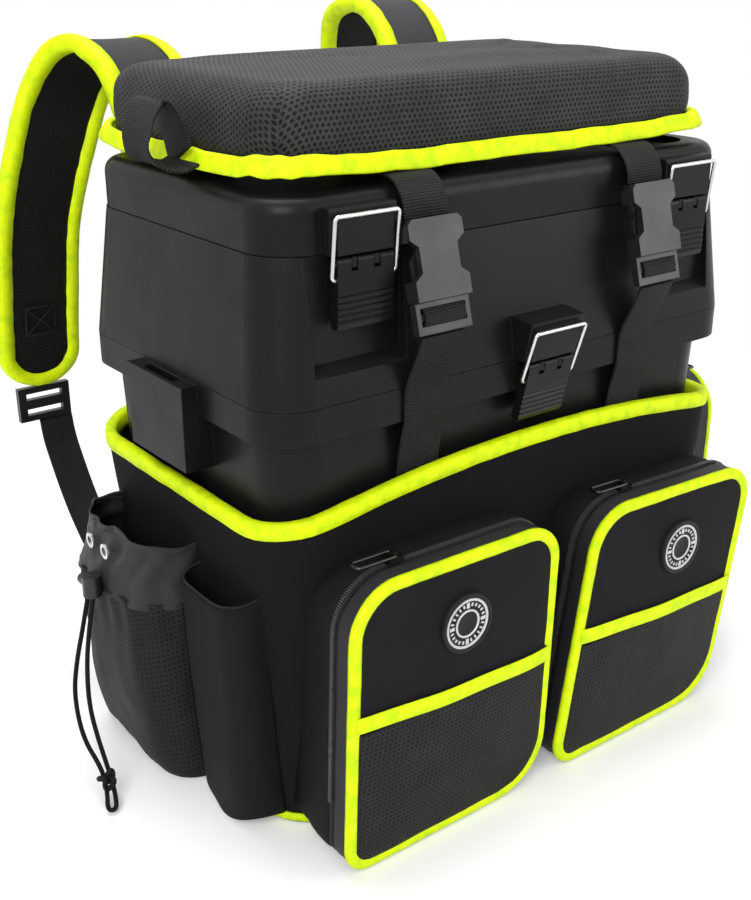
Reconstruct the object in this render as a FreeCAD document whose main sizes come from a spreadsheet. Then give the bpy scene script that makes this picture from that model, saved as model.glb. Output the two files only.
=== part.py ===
import FreeCAD, Part

import math
import os
import re
from types import SimpleNamespace

import Sketcher
from FreeCAD import Placement, Rotation, Vector

# Fishing seat box: a moulded box with a hinged tray case and lid, carried in a padded
# rucksack bag, with a strapped-on seat cushion. Millimetres, +Z up, +X to the sitter's
# left when seen from the front, the front faces -Y and the origin is on the floor
# under the middle of the box.

# Driving dimensions: name, size, what it is
DIMENSIONS = [
    ("box_width", 380, "hard box across its rim"),
    ("box_depth", 225.4, "hard box front to back at its rim"),
    ("rim_corner", 28, "corner radius of the rim and the case"),
    ("rim_high", 280, "top of the tub's rim band"),
    ("rim_height", 20, "height of the rim band"),
    ("tub_inset", 8.5, "tub wall behind the face of the rim band"),
    ("tub_floor_high", 6.2, "underside of the tub"),
    ("tub_foot_width", 344, "tub across its underside"),
    ("tub_foot_depth", 196, "tub front to back at its underside"),
    ("tub_corner", 30, "corner radius of the tub below the rim"),
    ("shell_wall", 3, "wall of the moulded box"),
    ("parting_gap", 0.3, "gap where two mouldings meet"),
    ("case_high", 361, "top edge of the tray case"),
    ("case_inset", 8.4, "case top edge inside the rim outline"),
    ("tray_floor_high", 299, "upper face of the tray floor"),
    ("lid_high", 391, "top of the lid"),
    ("lid_edge", 9, "rounding of the lid's top edge"),
    ("lid_recess_margin", 17, "seat recess inside the lid's outline"),
    ("lid_recess_depth", 3.7, "depth of the seat recess"),
    ("latch_spacing", 260, "between the two lid latches"),
    ("centre_latch_x", 3, "middle latch off the middle of the box"),
    ("latch_recess_width", 63, "recess around a lid latch"),
    ("latch_recess_low", 293, "foot of the latch recess"),
    ("latch_recess_inset", 9.5, "recess face inside the rim outline"),
    ("lever_width", 37, "width of a latch lever"),
    ("lever_length", 36, "latch lever below its hinge"),
    ("lever_hinge_high", 357.6, "hinge of the two lid latch levers"),
    ("lever_stand_off", 8.5, "lever hinge in front of its seat"),
    ("lever_front", 2.8, "front face of a lever ahead of its hinge"),
    ("lever_back", 4.4, "back of a lever ahead of its seat"),
    ("bail_drop", 9, "bail pivot below the lever hinge"),
    ("bail_reach", 0.6, "bail pivot in front of the lever hinge"),
    ("bail_height", 33.6, "bail bar above the bail pivots"),
    ("bail_wire", 1.15, "radius of the bail wire"),
    ("pin_radius", 1.6, "radius of the latch pins"),
    ("running_gap", 0.1, "clearance round a pin"),
    ("boss_width", 44, "width of a latch boss behind its bail"),
    ("boss_height", 24.5, "height of a lid latch boss"),
    ("centre_latch_high", 276.4, "hinge of the middle latch lever"),
    ("centre_latch_tilt", 12, "middle latch leans in at its foot, degrees"),
    ("hinge_spacing", 260, "between the two case hinges, and the lid's"),
    ("knuckle_radius", 4.5, "outer radius of a hinge knuckle"),
    ("knuckle_length", 14, "length of one hinge knuckle"),
    ("hinge_pin_radius", 2, "radius of a hinge pin"),
    ("lug_reach", 10, "side lug in front of the rim face"),
    ("lug_width", 66, "side lug front to back"),
    ("lug_low", 226, "foot of the side lug"),
    ("lug_slot_width", 36, "webbing slot in the side lug"),
    ("lug_slot_gap", 6, "thickness of the webbing slot"),
    ("bag_ease", 3.9, "bag outside the rim of the box"),
    ("bag_foot_ease", 7, "bag outside the foot of the tub"),
    ("bag_width", "=box_width + 2 * bag_ease", "bag across its top edge"),
    ("bag_depth", "=box_depth + 2 * bag_ease", "bag front to back at its top edge"),
    ("bag_foot_width", "=tub_foot_width + 2 * bag_foot_ease", "bag across its base"),
    ("bag_foot_depth", "=tub_foot_depth + 2 * bag_foot_ease", "bag front to back at its base"),
    ("bag_corner", 38, "corner radius of the bag"),
    ("bag_wall", 5, "padded wall of the bag"),
    ("bag_loft", 235, "height at which the bag reaches its top size"),
    ("bag_edge_left", 207, "bag edge at its left side"),
    ("bag_edge_middle", 231, "bag edge at its highest, in front"),
    ("bag_edge_right", 210, "bag edge at its right side"),
    ("binding_height", 10.5, "lime tape on the bag edge"),
    ("binding_thickness", 1.2, "tape thickness over the cloth"),
    ("base_tape_low", 2, "foot of the lime tape round the bag's base"),
    ("base_tape_height", 6, "lime tape round the bag's base"),
    ("panel_width", 300, "padded back panel"),
    ("panel_thickness", 13, "thickness of the back panel"),
    ("panel_low", 22, "foot of the back panel"),
    ("panel_split", 262, "top of the panel part on the bag"),
    ("panel_upper_low", 298, "foot of the panel part on the case"),
    ("panel_high", 350, "top of the back panel"),
    ("soft_gap", 0.3, "clearance of a soft piece"),
    ("pocket_width", 157, "front pocket"),
    ("pocket_low", 3, "foot of the front pockets"),
    ("pocket_corner", 33, "corner radius of a pocket at its upper left"),
    ("pocket_corner_right", 24, "corner radius of a front pocket at its upper right"),
    ("pocket_corner_low", 16, "corner radius of a front pocket at its lower left"),
    ("pocket_corner_sag", 38, "corner radius of a front pocket at its lower right"),
    ("pocket_left_height", 186, "left pocket at its left side"),
    ("pocket_right_height", 180, "right pocket at its left side"),
    ("pocket_left_slope", 2, "left pocket lower at its right side"),
    ("pocket_right_slope", 6, "right pocket lower at its right side"),
    ("pocket_left_lean", 6, "left pocket's foot shifted to the left"),
    ("pocket_right_lean", 28, "right pocket's foot shifted to the left"),
    ("pocket_zip_out", 18, "zip in front of the bag's top edge"),
    ("pocket_face_out", 37, "pocket face in front of the bag's top edge"),
    ("pocket_wall", 2.5, "cloth of a pocket"),
    ("pocket_left_x", -91, "middle of the left pocket at its top"),
    ("pocket_right_x", 100, "middle of the right pocket at its top"),
    ("side_pocket_width", 150, "pocket on the right side"),
    ("side_pocket_height", 176, "height of the side pocket"),
    ("side_pocket_low", 34, "foot of the side pocket"),
    ("zip_height", 4, "width of the zip tape and teeth"),
    ("piping_width", 7, "lime piping round a pocket face"),
    ("piping_thickness", 1.6, "piping in front of the pocket face"),
    ("stripe_height", 10.5, "lime stripe across a pocket face"),
    ("stripe_slope", 8, "lime stripe lower at its right end"),
    ("stripe_left_high", 102, "left pocket's stripe at its middle"),
    ("stripe_right_high", 94, "right pocket's stripe at its middle"),
    ("badge_radius", 19, "round rubber badge"),
    ("badge_thickness", 3, "badge in front of the pocket face"),
    ("badge_left_high", 146, "middle of the left pocket's badge"),
    ("badge_right_high", 137, "middle of the right pocket's badge"),
    ("slider_length", 11, "zip slider"),
    ("slider_shift", -38, "zip slider off the middle of its pocket"),
    ("puller_length", 27, "wire puller on the zip slider"),
    ("mesh_pocket_reach", 40, "mesh pocket in front of the bag's side"),
    ("mesh_pocket_front", -19, "front edge of the mesh pocket"),
    ("mesh_pocket_rear", 101, "rear edge of the mesh pocket"),
    ("mesh_pocket_low", 8, "foot of the mesh pocket"),
    ("mesh_high", 140, "top of the mesh, foot of its nylon band"),
    ("band_high", 182, "top of the nylon band"),
    ("mesh_wall", 1.6, "mesh and nylon band"),
    ("eyelet_radius", 5, "eyelet in the nylon band"),
    ("tube_pocket_reach", 20, "tube pocket in front of the bag's side"),
    ("tube_pocket_front", -86, "front edge of the tube pocket"),
    ("tube_pocket_rear", -23, "rear edge of the tube pocket"),
    ("tube_pocket_high", 163, "top of the tube pocket"),
    ("cord_radius", 1.5, "draw cord"),
    ("knot_radius", 7.5, "knot in the draw cord"),
    ("knot_height", 18, "knot in the draw cord, tall"),
    ("webbing_width", 31, "front webbing"),
    ("webbing_thickness", 2, "webbing"),
    ("strap_spacing", 176, "between the two front straps"),
    ("buckle_width", 38, "side-release buckle"),
    ("buckle_high", 374, "top of the buckle socket"),
    ("buckle_out", 111.5, "buckle in front of the middle of the box"),
    ("buckle_tilt", 15, "buckle stands out at its foot, degrees"),
    ("socket_length", 44, "buckle socket"),
    ("prong_length", 62, "top of the socket to the foot of the ladder"),
    ("cushion_width", 346, "foam of the seat cushion"),
    ("cushion_depth", 204, "foam of the seat cushion, front to back"),
    ("cushion_shift", 9.5, "cushion behind the middle of the box"),
    ("cushion_low", 397.6, "underside of the foam's flange"),
    ("cushion_high", 449, "top of the crown"),
    ("cushion_corner", 32, "corner radius of the cushion"),
    ("cushion_tuck", 5, "foam drawn in at its seam"),
    ("cushion_widest", 0.34, "share of the foam's height where it is widest"),
    ("cushion_shoulder", 56, "crown's flat inside the widest outline"),
    ("flange_reach", 4, "binding outside the foam"),
    ("flange_height", 5, "height of the cushion binding"),
    ("loop_width", 28, "webbing of the grab loops"),
    ("loop_reach", 30, "grab loop outside the cushion"),
    ("shoulder_width", 62, "padded shoulder strap"),
    ("shoulder_thickness", 10, "padding of the shoulder strap"),
    ("shoulder_spacing", 224, "between the shoulder straps at their root"),
    ("shoulder_flare", 66, "shoulder strap's foot outside its root"),
    ("ladder_width", 40, "ladder lock on a shoulder strap"),
    ("lower_webbing_width", 26, "webbing below the shoulder straps"),
]

doc = FreeCAD.newDocument("FishingSeatBox")
sheet = doc.addObject("Spreadsheet::Sheet", "Dimensions")
for row, (alias, size, meaning) in enumerate(DIMENSIONS, start=1):
    sheet.set(f"A{row}", alias)
    sheet.set(f"B{row}", str(size))
    sheet.set(f"C{row}", meaning)
    sheet.setAlias(f"B{row}", alias)
doc.recompute()
ALIASES = {alias for alias, _, _ in DIMENSIONS}
d = SimpleNamespace(**{alias: float(sheet.get(alias)) for alias in ALIASES})

NODES = {}


# Expressions bound to the sheet


def in_sheet(expression):
    """The expression with each dimension's name written as a cell of the sheet."""
    return re.sub(
        r"[a-z_]+",
        lambda word: f"Dimensions.{word.group(0)}" if word.group(0) in ALIASES else word.group(0),
        str(expression),
    )


def number(expression):
    return float(sheet.evalExpression(in_sheet(expression)))


def bind(thing, target, expression):
    thing.setExpression(target, in_sheet(expression))


def place(thing, x="0", y="0", z="0", axis=Vector(0, 0, 1), angle=0.0):
    """Set the object at a bound place, turned about an axis by a fixed angle."""
    thing.Placement = Placement(Vector(number(x), number(y), number(z)), Rotation(axis, angle))
    for target, expression in (("x", x), ("y", y), ("z", z)):
        bind(thing, f"Placement.Base.{target}", expression)
    return thing


def keep(node, thing):
    """Name a finished sub-part."""
    thing.Label = node
    NODES[node] = thing
    return thing


# Sketched bodies


def new_body(name):
    return doc.addObject("PartDesign::Body", name)


def new_fittings(name):
    """A body of several small solids that a shell carries."""
    body = new_body(name)
    body.AllowCompound = True
    return body


def new_sketch(body, plane, offset="0"):
    """A sketch on one of the body's own origin planes, moved along the plane's normal."""
    sketch = body.newObject("Sketcher::SketchObject", f"{body.Name}_sketch")
    origin_plane = next(o for o in body.Origin.OriginFeatures if o.Role == plane)
    sketch.AttachmentSupport = [(origin_plane, "")]
    sketch.MapMode = "FlatFace"
    bind(sketch, "AttachmentOffset.Base.z", offset)
    return sketch


def hold(sketch, kind, geometry, end, expression):
    """Fix one coordinate of a sketch point to an expression."""
    index = sketch.addConstraint(Sketcher.Constraint(kind, geometry, end, number(expression)))
    bind(sketch, f"Constraints[{index}]", expression)


def add_outline(sketch, corners):
    """A closed outline of straight lines with every corner held in both directions."""
    points = [Vector(number(x), number(y), 0) for x, y in corners]
    first = sketch.GeometryCount
    count = len(points)
    for start, end in zip(points, points[1:] + points[:1]):
        sketch.addGeometry(Part.LineSegment(start, end))
    for k in range(count):
        follower = first + (k + 1) % count
        sketch.addConstraint(Sketcher.Constraint("Coincident", first + k, 2, follower, 1))
    for k, (x, y) in enumerate(corners):
        hold(sketch, "DistanceX", first + k, 1, x)
        hold(sketch, "DistanceY", first + k, 1, y)


def add_rectangle(sketch, x_low, x_high, y_low, y_high):
    corners = [(x_low, y_low), (x_high, y_low), (x_high, y_high), (x_low, y_high)]
    add_outline(sketch, corners)


def add_circle(sketch, x, y, radius):
    centre = Vector(number(x), number(y), 0)
    index = sketch.addGeometry(Part.Circle(centre, Vector(0, 0, 1), number(radius)))
    hold(sketch, "DistanceX", index, 3, x)
    hold(sketch, "DistanceY", index, 3, y)
    size = sketch.addConstraint(Sketcher.Constraint("Radius", index, number(radius)))
    bind(sketch, f"Constraints[{size}]", radius)


def add_rounded_rectangle(sketch, width, depth, radius, x="0", y="0"):
    """A rectangle with rounded corners about the point x, y."""
    half_w = number(width) / 2
    half_d = number(depth) / 2
    r = number(radius)
    cx = number(x)
    cy = number(y)
    first = sketch.GeometryCount
    corner_signs = [(1, -1), (1, 1), (-1, 1), (-1, -1)]
    for k, (sx, sy) in enumerate(corner_signs):
        centre = Vector(cx + sx * (half_w - r), cy + sy * (half_d - r), 0)
        arc = Part.Circle(centre, Vector(0, 0, 1), r)
        from_angle = (k - 1) * math.pi / 2
        sketch.addGeometry(Part.ArcOfCircle(arc, from_angle, from_angle + math.pi / 2))
    for k in range(4):
        start = sketch.getPoint(first + k, 2)
        end = sketch.getPoint(first + (k + 1) % 4, 1)
        sketch.addGeometry(Part.LineSegment(start, end))
    for k in range(4):
        line = first + 4 + k
        sketch.addConstraint(Sketcher.Constraint("Tangent", first + k, 2, line, 1))
        sketch.addConstraint(Sketcher.Constraint("Tangent", line, 2, first + (k + 1) % 4, 1))
        direction = "Vertical" if k % 2 == 0 else "Horizontal"
        sketch.addConstraint(Sketcher.Constraint(direction, line))
    for k in range(3):
        sketch.addConstraint(Sketcher.Constraint("Equal", first + k, first + k + 1))
    size = sketch.addConstraint(Sketcher.Constraint("Radius", first, r))
    bind(sketch, f"Constraints[{size}]", radius)
    hold(sketch, "DistanceX", first + 4, 1, f"({x}) + ({width}) / 2")
    hold(sketch, "DistanceY", first + 5, 1, f"({y}) + ({depth}) / 2")
    hold(sketch, "DistanceX", first + 6, 1, f"({x}) - ({width}) / 2")
    hold(sketch, "DistanceY", first + 7, 1, f"({y}) - ({depth}) / 2")


def pad(body, sketch, length, midplane=False, reverse=False):
    feature = body.newObject("PartDesign::Pad", f"{body.Name}_pad")
    feature.Profile = sketch
    bind(feature, "Length", length)
    feature.Midplane = midplane
    feature.Reversed = reverse
    return feature


def pocket(body, sketch, length, midplane=False, reverse=False):
    feature = body.newObject("PartDesign::Pocket", f"{body.Name}_pocket")
    feature.Profile = sketch
    bind(feature, "Length", length)
    feature.Midplane = midplane
    feature.Reversed = reverse
    return feature


def loft(body, kind, low, high):
    """A ruled loft between two sketches, added or taken away."""
    feature = body.newObject(f"PartDesign::{kind}", f"{body.Name}_loft")
    feature.Profile = low
    feature.Sections = [high]
    feature.Ruled = True
    return feature


def rounded_section(body, width, depth, radius, z):
    sketch = new_sketch(body, "XY_Plane", z)
    add_rounded_rectangle(sketch, width, depth, radius)
    return sketch


def side_pad(body, x, corners, length):
    """A pad across X about the plane at x, from a profile of (y, z) corners."""
    sketch = new_sketch(body, "YZ_Plane", x)
    add_outline(sketch, corners)
    return pad(body, sketch, length, midplane=True)


def side_pocket(body, x, corners, length):
    sketch = new_sketch(body, "YZ_Plane", x)
    add_outline(sketch, corners)
    return pocket(body, sketch, length, midplane=True)


def side_bore(body, x, y, z, radius, length):
    sketch = new_sketch(body, "YZ_Plane", x)
    add_circle(sketch, y, z, radius)
    return pocket(body, sketch, length, midplane=True)


def side_rod(body, x, y, z, radius, length):
    sketch = new_sketch(body, "YZ_Plane", x)
    add_circle(sketch, y, z, radius)
    return pad(body, sketch, length, midplane=True)


# Shapes of cloth, cord and wire


def rounded_wire(width, depth, radius, z, x=0.0, y=0.0):
    """A level rounded rectangle."""
    hw = width / 2
    hd = depth / 2
    edges = []
    for k, (sx, sy) in enumerate([(1, -1), (1, 1), (-1, 1), (-1, -1)]):
        centre = Vector(x + sx * (hw - radius), y + sy * (hd - radius), z)
        start = (k - 1) * 90.0
        edges.append(Part.makeCircle(radius, centre, Vector(0, 0, 1), start, start + 90))
    joined = []
    for k in range(4):
        joined.append(edges[k])
        joined.append(Part.makeLine(edges[k].Vertexes[-1].Point, edges[(k + 1) % 4].Vertexes[0].Point))
    return Part.Wire(joined)


def rounded_polygon(corners, radii):
    """A closed wire through the corners, each corner an arc tangent to its sides."""
    edges = []
    ends = []
    count = len(corners)
    for k, (corner, radius) in enumerate(zip(corners, radii)):
        back = (corners[k - 1] - corner).normalize()
        ahead = (corners[(k + 1) % count] - corner).normalize()
        half = back.getAngle(ahead) / 2
        reach = radius / math.tan(half)
        start = corner + back * reach
        end = corner + ahead * reach
        middle_way = (back + ahead).normalize()
        middle = corner + middle_way * (radius / math.sin(half) - radius)
        ends.append((start, middle, end))
    for k, (start, middle, end) in enumerate(ends):
        edges.append(Part.Arc(start, middle, end).toShape())
        edges.append(Part.makeLine(end, ends[(k + 1) % count][0]))
    return Part.Wire(edges)


STRAP_SECTIONS = 26


def solid_of(shape):
    """The one solid of a boolean's result."""
    if len(shape.Solids) != 1:
        raise RuntimeError(f"{len(shape.Solids)} solids where one is meant")
    return shape.Solids[0]


def soft_piece(node, shape, seat=Placement()):
    """A sewn, bent or tied piece whose shape is worked out from the sheet, then seated."""
    feature = doc.addObject("Part::Feature", node)
    feature.Shape = shape
    feature.Placement = seat
    return keep(node, feature)


def smooth_band(points, thickness, width, x):
    """Webbing along smooth (y, z) points, as wide as width about x."""
    count = len(points)
    sides = ([], [])
    for k, (y, z) in enumerate(points):
        before = points[max(k - 1, 0)]
        after = points[min(k + 1, count - 1)]
        run = Vector(0, after[0] - before[0], after[1] - before[1]).normalize()
        across = Vector(0, -run.z, run.y) * (thickness / 2)
        centre = Vector(x - width / 2, y, z)
        sides[0].append(centre + across)
        sides[1].append(centre - across)
    curves = []
    for side in sides:
        spline = Part.BSplineCurve()
        spline.interpolate(side)
        curves.append(spline.toShape())
    caps = [Part.makeLine(sides[0][k], sides[1][k]) for k in (0, -1)]
    outline = Part.Wire([curves[0], caps[1], curves[1], caps[0]])
    return Part.Face(outline).extrude(Vector(width, 0, 0))


def smooth_ring(points, thickness, width, y):
    """A closed loop of webbing through (x, z) points, as wide as width about y."""
    count = len(points)
    rings = ([], [])
    for k, (x, z) in enumerate(points):
        before = points[k - 1]
        after = points[(k + 1) % count]
        run = Vector(after[0] - before[0], 0, after[1] - before[1]).normalize()
        across = Vector(-run.z, 0, run.x) * (thickness / 2)
        centre = Vector(x, y - width / 2, z)
        rings[0].append(centre + across)
        rings[1].append(centre - across)
    faces = []
    for ring in rings:
        spline = Part.BSplineCurve()
        spline.interpolate(ring, PeriodicFlag=True)
        faces.append(Part.Face(Part.Wire(spline.toShape())))
    faces.sort(key=lambda face: face.Area)
    return faces[1].cut(faces[0]).extrude(Vector(0, width, 0))


def strap_loft(points, width, thickness):
    """A padded strap: rounded sections square to a smooth line through the points."""
    line = Part.BSplineCurve()
    line.interpolate(points)
    centres = line.discretize(STRAP_SECTIONS)
    sections = []
    for k, centre in enumerate(centres):
        run = centres[min(k + 1, len(centres) - 1)] - centres[max(k - 1, 0)]
        run.normalize()
        side = (Vector(1, 0, 0) - run * run.x).normalize()
        up = run.cross(side)
        corner = thickness * 0.45
        corners = [
            centre + side * (sx * width / 2) + up * (sy * thickness / 2)
            for sx, sy in ((1, -1), (1, 1), (-1, 1), (-1, -1))
        ]
        sections.append(rounded_polygon(corners, [corner] * 4))
    return Part.makeLoft(sections, True, True)


def cord_wire(points, radii_name):
    """Straight runs joined by tangent arcs as large as the runs allow; prints the radii."""
    edges = []
    radii = []
    start = points[0]
    for before, corner, after in zip(points, points[1:], points[2:]):
        back = before - corner
        ahead = after - corner
        turn = math.pi - back.getAngle(ahead)
        reach = 0.45 * min(back.Length, ahead.Length)
        radii.append(reach / math.tan(turn / 2))
        arc_start = corner + back.normalize() * reach
        arc_end = corner + ahead.normalize() * reach
        bisector = (back + ahead).normalize()
        half = (math.pi - turn) / 2
        middle = corner + bisector * (radii[-1] / math.sin(half) - radii[-1])
        edges.append(Part.LineSegment(start, arc_start).toShape())
        edges.append(Part.Arc(arc_start, middle, arc_end).toShape())
        start = arc_end
    edges.append(Part.LineSegment(start, points[-1]).toShape())
    print(radii_name, "arc radii", [round(radius, 1) for radius in radii])
    return Part.Wire(edges)


def tube(path, radius):
    """A round section along a tangent path."""
    first = path.Edges[0]
    start = first.valueAt(first.FirstParameter)
    section = Part.Wire(Part.makeCircle(radius, start, first.tangentAt(first.FirstParameter)))
    solid = path.makePipeShell([section], True, False)
    meant = math.pi * radius**2 * path.Length
    if abs(solid.Volume - meant) > 0.02 * meant:
        raise RuntimeError("a tube's volume is not its section times its length")
    return solid


# The hard box

CASE_LOW = "(rim_high + parting_gap)"
LID_LOW = "(case_high + parting_gap)"
RIM_LOW = "(rim_high - rim_height)"
LID_WIDTH = "(box_width - 2 * case_inset - 1)"
LID_DEPTH = "(box_depth - 2 * case_inset - 1)"
HINGE_BACK = "(box_depth / 2 + knuckle_radius + parting_gap)"
LID_HINGE_BACK = "(box_depth / 2 - case_inset + knuckle_radius + parting_gap)"
LATCH_SEAT = "(box_depth / 2 - latch_recess_inset)"
HINGE_HIGH = "(rim_high + parting_gap / 2)"
LID_HINGE_HIGH = "(case_high + parting_gap / 2)"
CENTRE_HINGE_OUT = "(box_depth / 2 + lever_stand_off)"
LID_LATCH_OUT = f"({LATCH_SEAT} + lever_stand_off)"
EAR_WIDTH = "3.4"
EAR_X = "(lever_width / 5)"
EAR_FOOT = "3.6"
BOSS_AHEAD = "0.5"


def case_inset_at(z):
    """How far the case's wall stands inside the rim outline at a height."""
    return f"(case_inset * ({z} - {CASE_LOW}) / (case_high - {CASE_LOW}))"


def tub_size_at(foot, top, z):
    share = f"(({z} - tub_floor_high) / ({RIM_LOW} - tub_floor_high))"
    return f"({foot} + ({top} - {foot}) * {share})"


def knuckle(body, x, y, z, length, root_y, root_low, root_high):
    """A hinge knuckle on a short root, about an axis along X."""
    side_pad(body, x, [(root_y, root_low), (y, root_low), (y, root_high), (root_y, root_high)], length)
    side_rod(body, x, y, z, "knuckle_radius", length)


def latch_ears(body, x, seat, hinge_out, hinge_z):
    """Two ears that carry a latch lever's pin, inside the lever's width."""
    front = f"(-({hinge_out} + 2.4))"
    for side in (-1, 1):
        ear_x = f"({x} + {side} * {EAR_X})"
        corners = [
            (f"(-({seat} - 2))", f"({hinge_z} - {EAR_FOOT})"),
            (front, f"({hinge_z} - {EAR_FOOT} + 0.6)"),
            (front, f"({hinge_z} + 2.4)"),
            (f"(-({seat} - 2))", f"({hinge_z} + 2.8)"),
        ]
        side_pad(body, ear_x, corners, EAR_WIDTH)


def rod(radius, length, x, y, z):
    """A cylinder along X about the middle x."""
    thing = doc.addObject("Part::Cylinder", "rod")
    bind(thing, "Radius", radius)
    bind(thing, "Height", length)
    return place(thing, f"({x}) - ({length}) / 2", y, z, Vector(0, 1, 0), 90)


def compound(things):
    group = doc.addObject("Part::Compound", "group")
    group.Links = things
    return group


def moulding(node, shell, fittings, bores):
    """A moulding: its shell with the knuckles, ears and bosses on it, bored for its pins."""
    whole = doc.addObject("Part::MultiFuse", f"{node}_whole")
    whole.Shapes = [shell, fittings]
    bored = doc.addObject("Part::Cut", node)
    bored.Base = whole
    bored.Tool = compound(bores)
    return keep(node, bored)


def make_tub():
    """The moulded tub with its rim band, side lugs, hinge knuckles and middle latch ears."""
    body = new_body("tub_shell")
    fittings = new_fittings("tub_fittings")
    bores = []
    top_width = "(box_width - 2 * tub_inset)"
    top_depth = "(box_depth - 2 * tub_inset)"
    foot = rounded_section(body, "tub_foot_width", "tub_foot_depth", "tub_corner", "tub_floor_high")
    shoulder = rounded_section(body, top_width, top_depth, "tub_corner", RIM_LOW)
    loft(body, "AdditiveLoft", foot, shoulder)
    rim = rounded_section(body, "box_width", "box_depth", "rim_corner", RIM_LOW)
    pad(body, rim, "rim_height")

    lug = new_sketch(fittings, "XY_Plane", "lug_low")
    lug_root = "(box_width / 2 - tub_inset - shell_wall)"
    lug_face = "(box_width / 2 + lug_reach)"
    add_rectangle(lug, f"-{lug_face}", f"-{lug_root}", "-lug_width / 2", "lug_width / 2")
    add_rectangle(lug, lug_root, lug_face, "-lug_width / 2", "lug_width / 2")
    pad(fittings, lug, "rim_high - 2 - lug_low")

    for side in (-1, 1):
        for end in (-1, 1):
            x = f"({side} * hinge_spacing / 2 + {end} * (knuckle_length + parting_gap))"
            knuckle(
                fittings, x, HINGE_BACK, HINGE_HIGH, "knuckle_length",
                "(box_depth / 2 - 2)", "(rim_high - 9)", "rim_high",
            )
        x = f"({side} * hinge_spacing / 2)"
        bores.append(rod("hinge_pin_radius", "4 * knuckle_length", x, HINGE_BACK, HINGE_HIGH))

    inner_low = "(tub_floor_high + shell_wall)"
    low_width = tub_size_at("tub_foot_width", top_width, inner_low)
    low_depth = tub_size_at("tub_foot_depth", top_depth, inner_low)
    cavity_low = rounded_section(
        body, f"{low_width} - 2 * shell_wall", f"{low_depth} - 2 * shell_wall",
        "tub_corner - shell_wall", inner_low,
    )
    cavity_high = rounded_section(
        body, f"{top_width} - 2 * shell_wall", f"{top_depth} - 2 * shell_wall",
        "tub_corner - shell_wall", RIM_LOW,
    )
    loft(body, "SubtractiveLoft", cavity_low, cavity_high)
    mouth = rounded_section(
        body, f"{top_width} - 2 * shell_wall", f"{top_depth} - 2 * shell_wall",
        "tub_corner - shell_wall", "rim_high",
    )
    pocket(body, mouth, "rim_height")

    slot = new_sketch(fittings, "XY_Plane", "rim_high - 2")
    slot_near = "(box_width / 2 + 1)"
    slot_far = "(box_width / 2 + 1 + lug_slot_gap)"
    add_rectangle(slot, f"-{slot_far}", f"-{slot_near}", "-lug_slot_width / 2", "lug_slot_width / 2")
    add_rectangle(slot, slot_near, slot_far, "-lug_slot_width / 2", "lug_slot_width / 2")
    pocket(fittings, slot, "rim_high - lug_low + 4")

    latch_ears(fittings, "centre_latch_x", "box_depth / 2", CENTRE_HINGE_OUT, "centre_latch_high")
    bores.append(
        rod("pin_radius", "lever_width + 12", "centre_latch_x", f"-{CENTRE_HINGE_OUT}", "centre_latch_high")
    )
    moulding("tub", body, fittings, bores)


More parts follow.
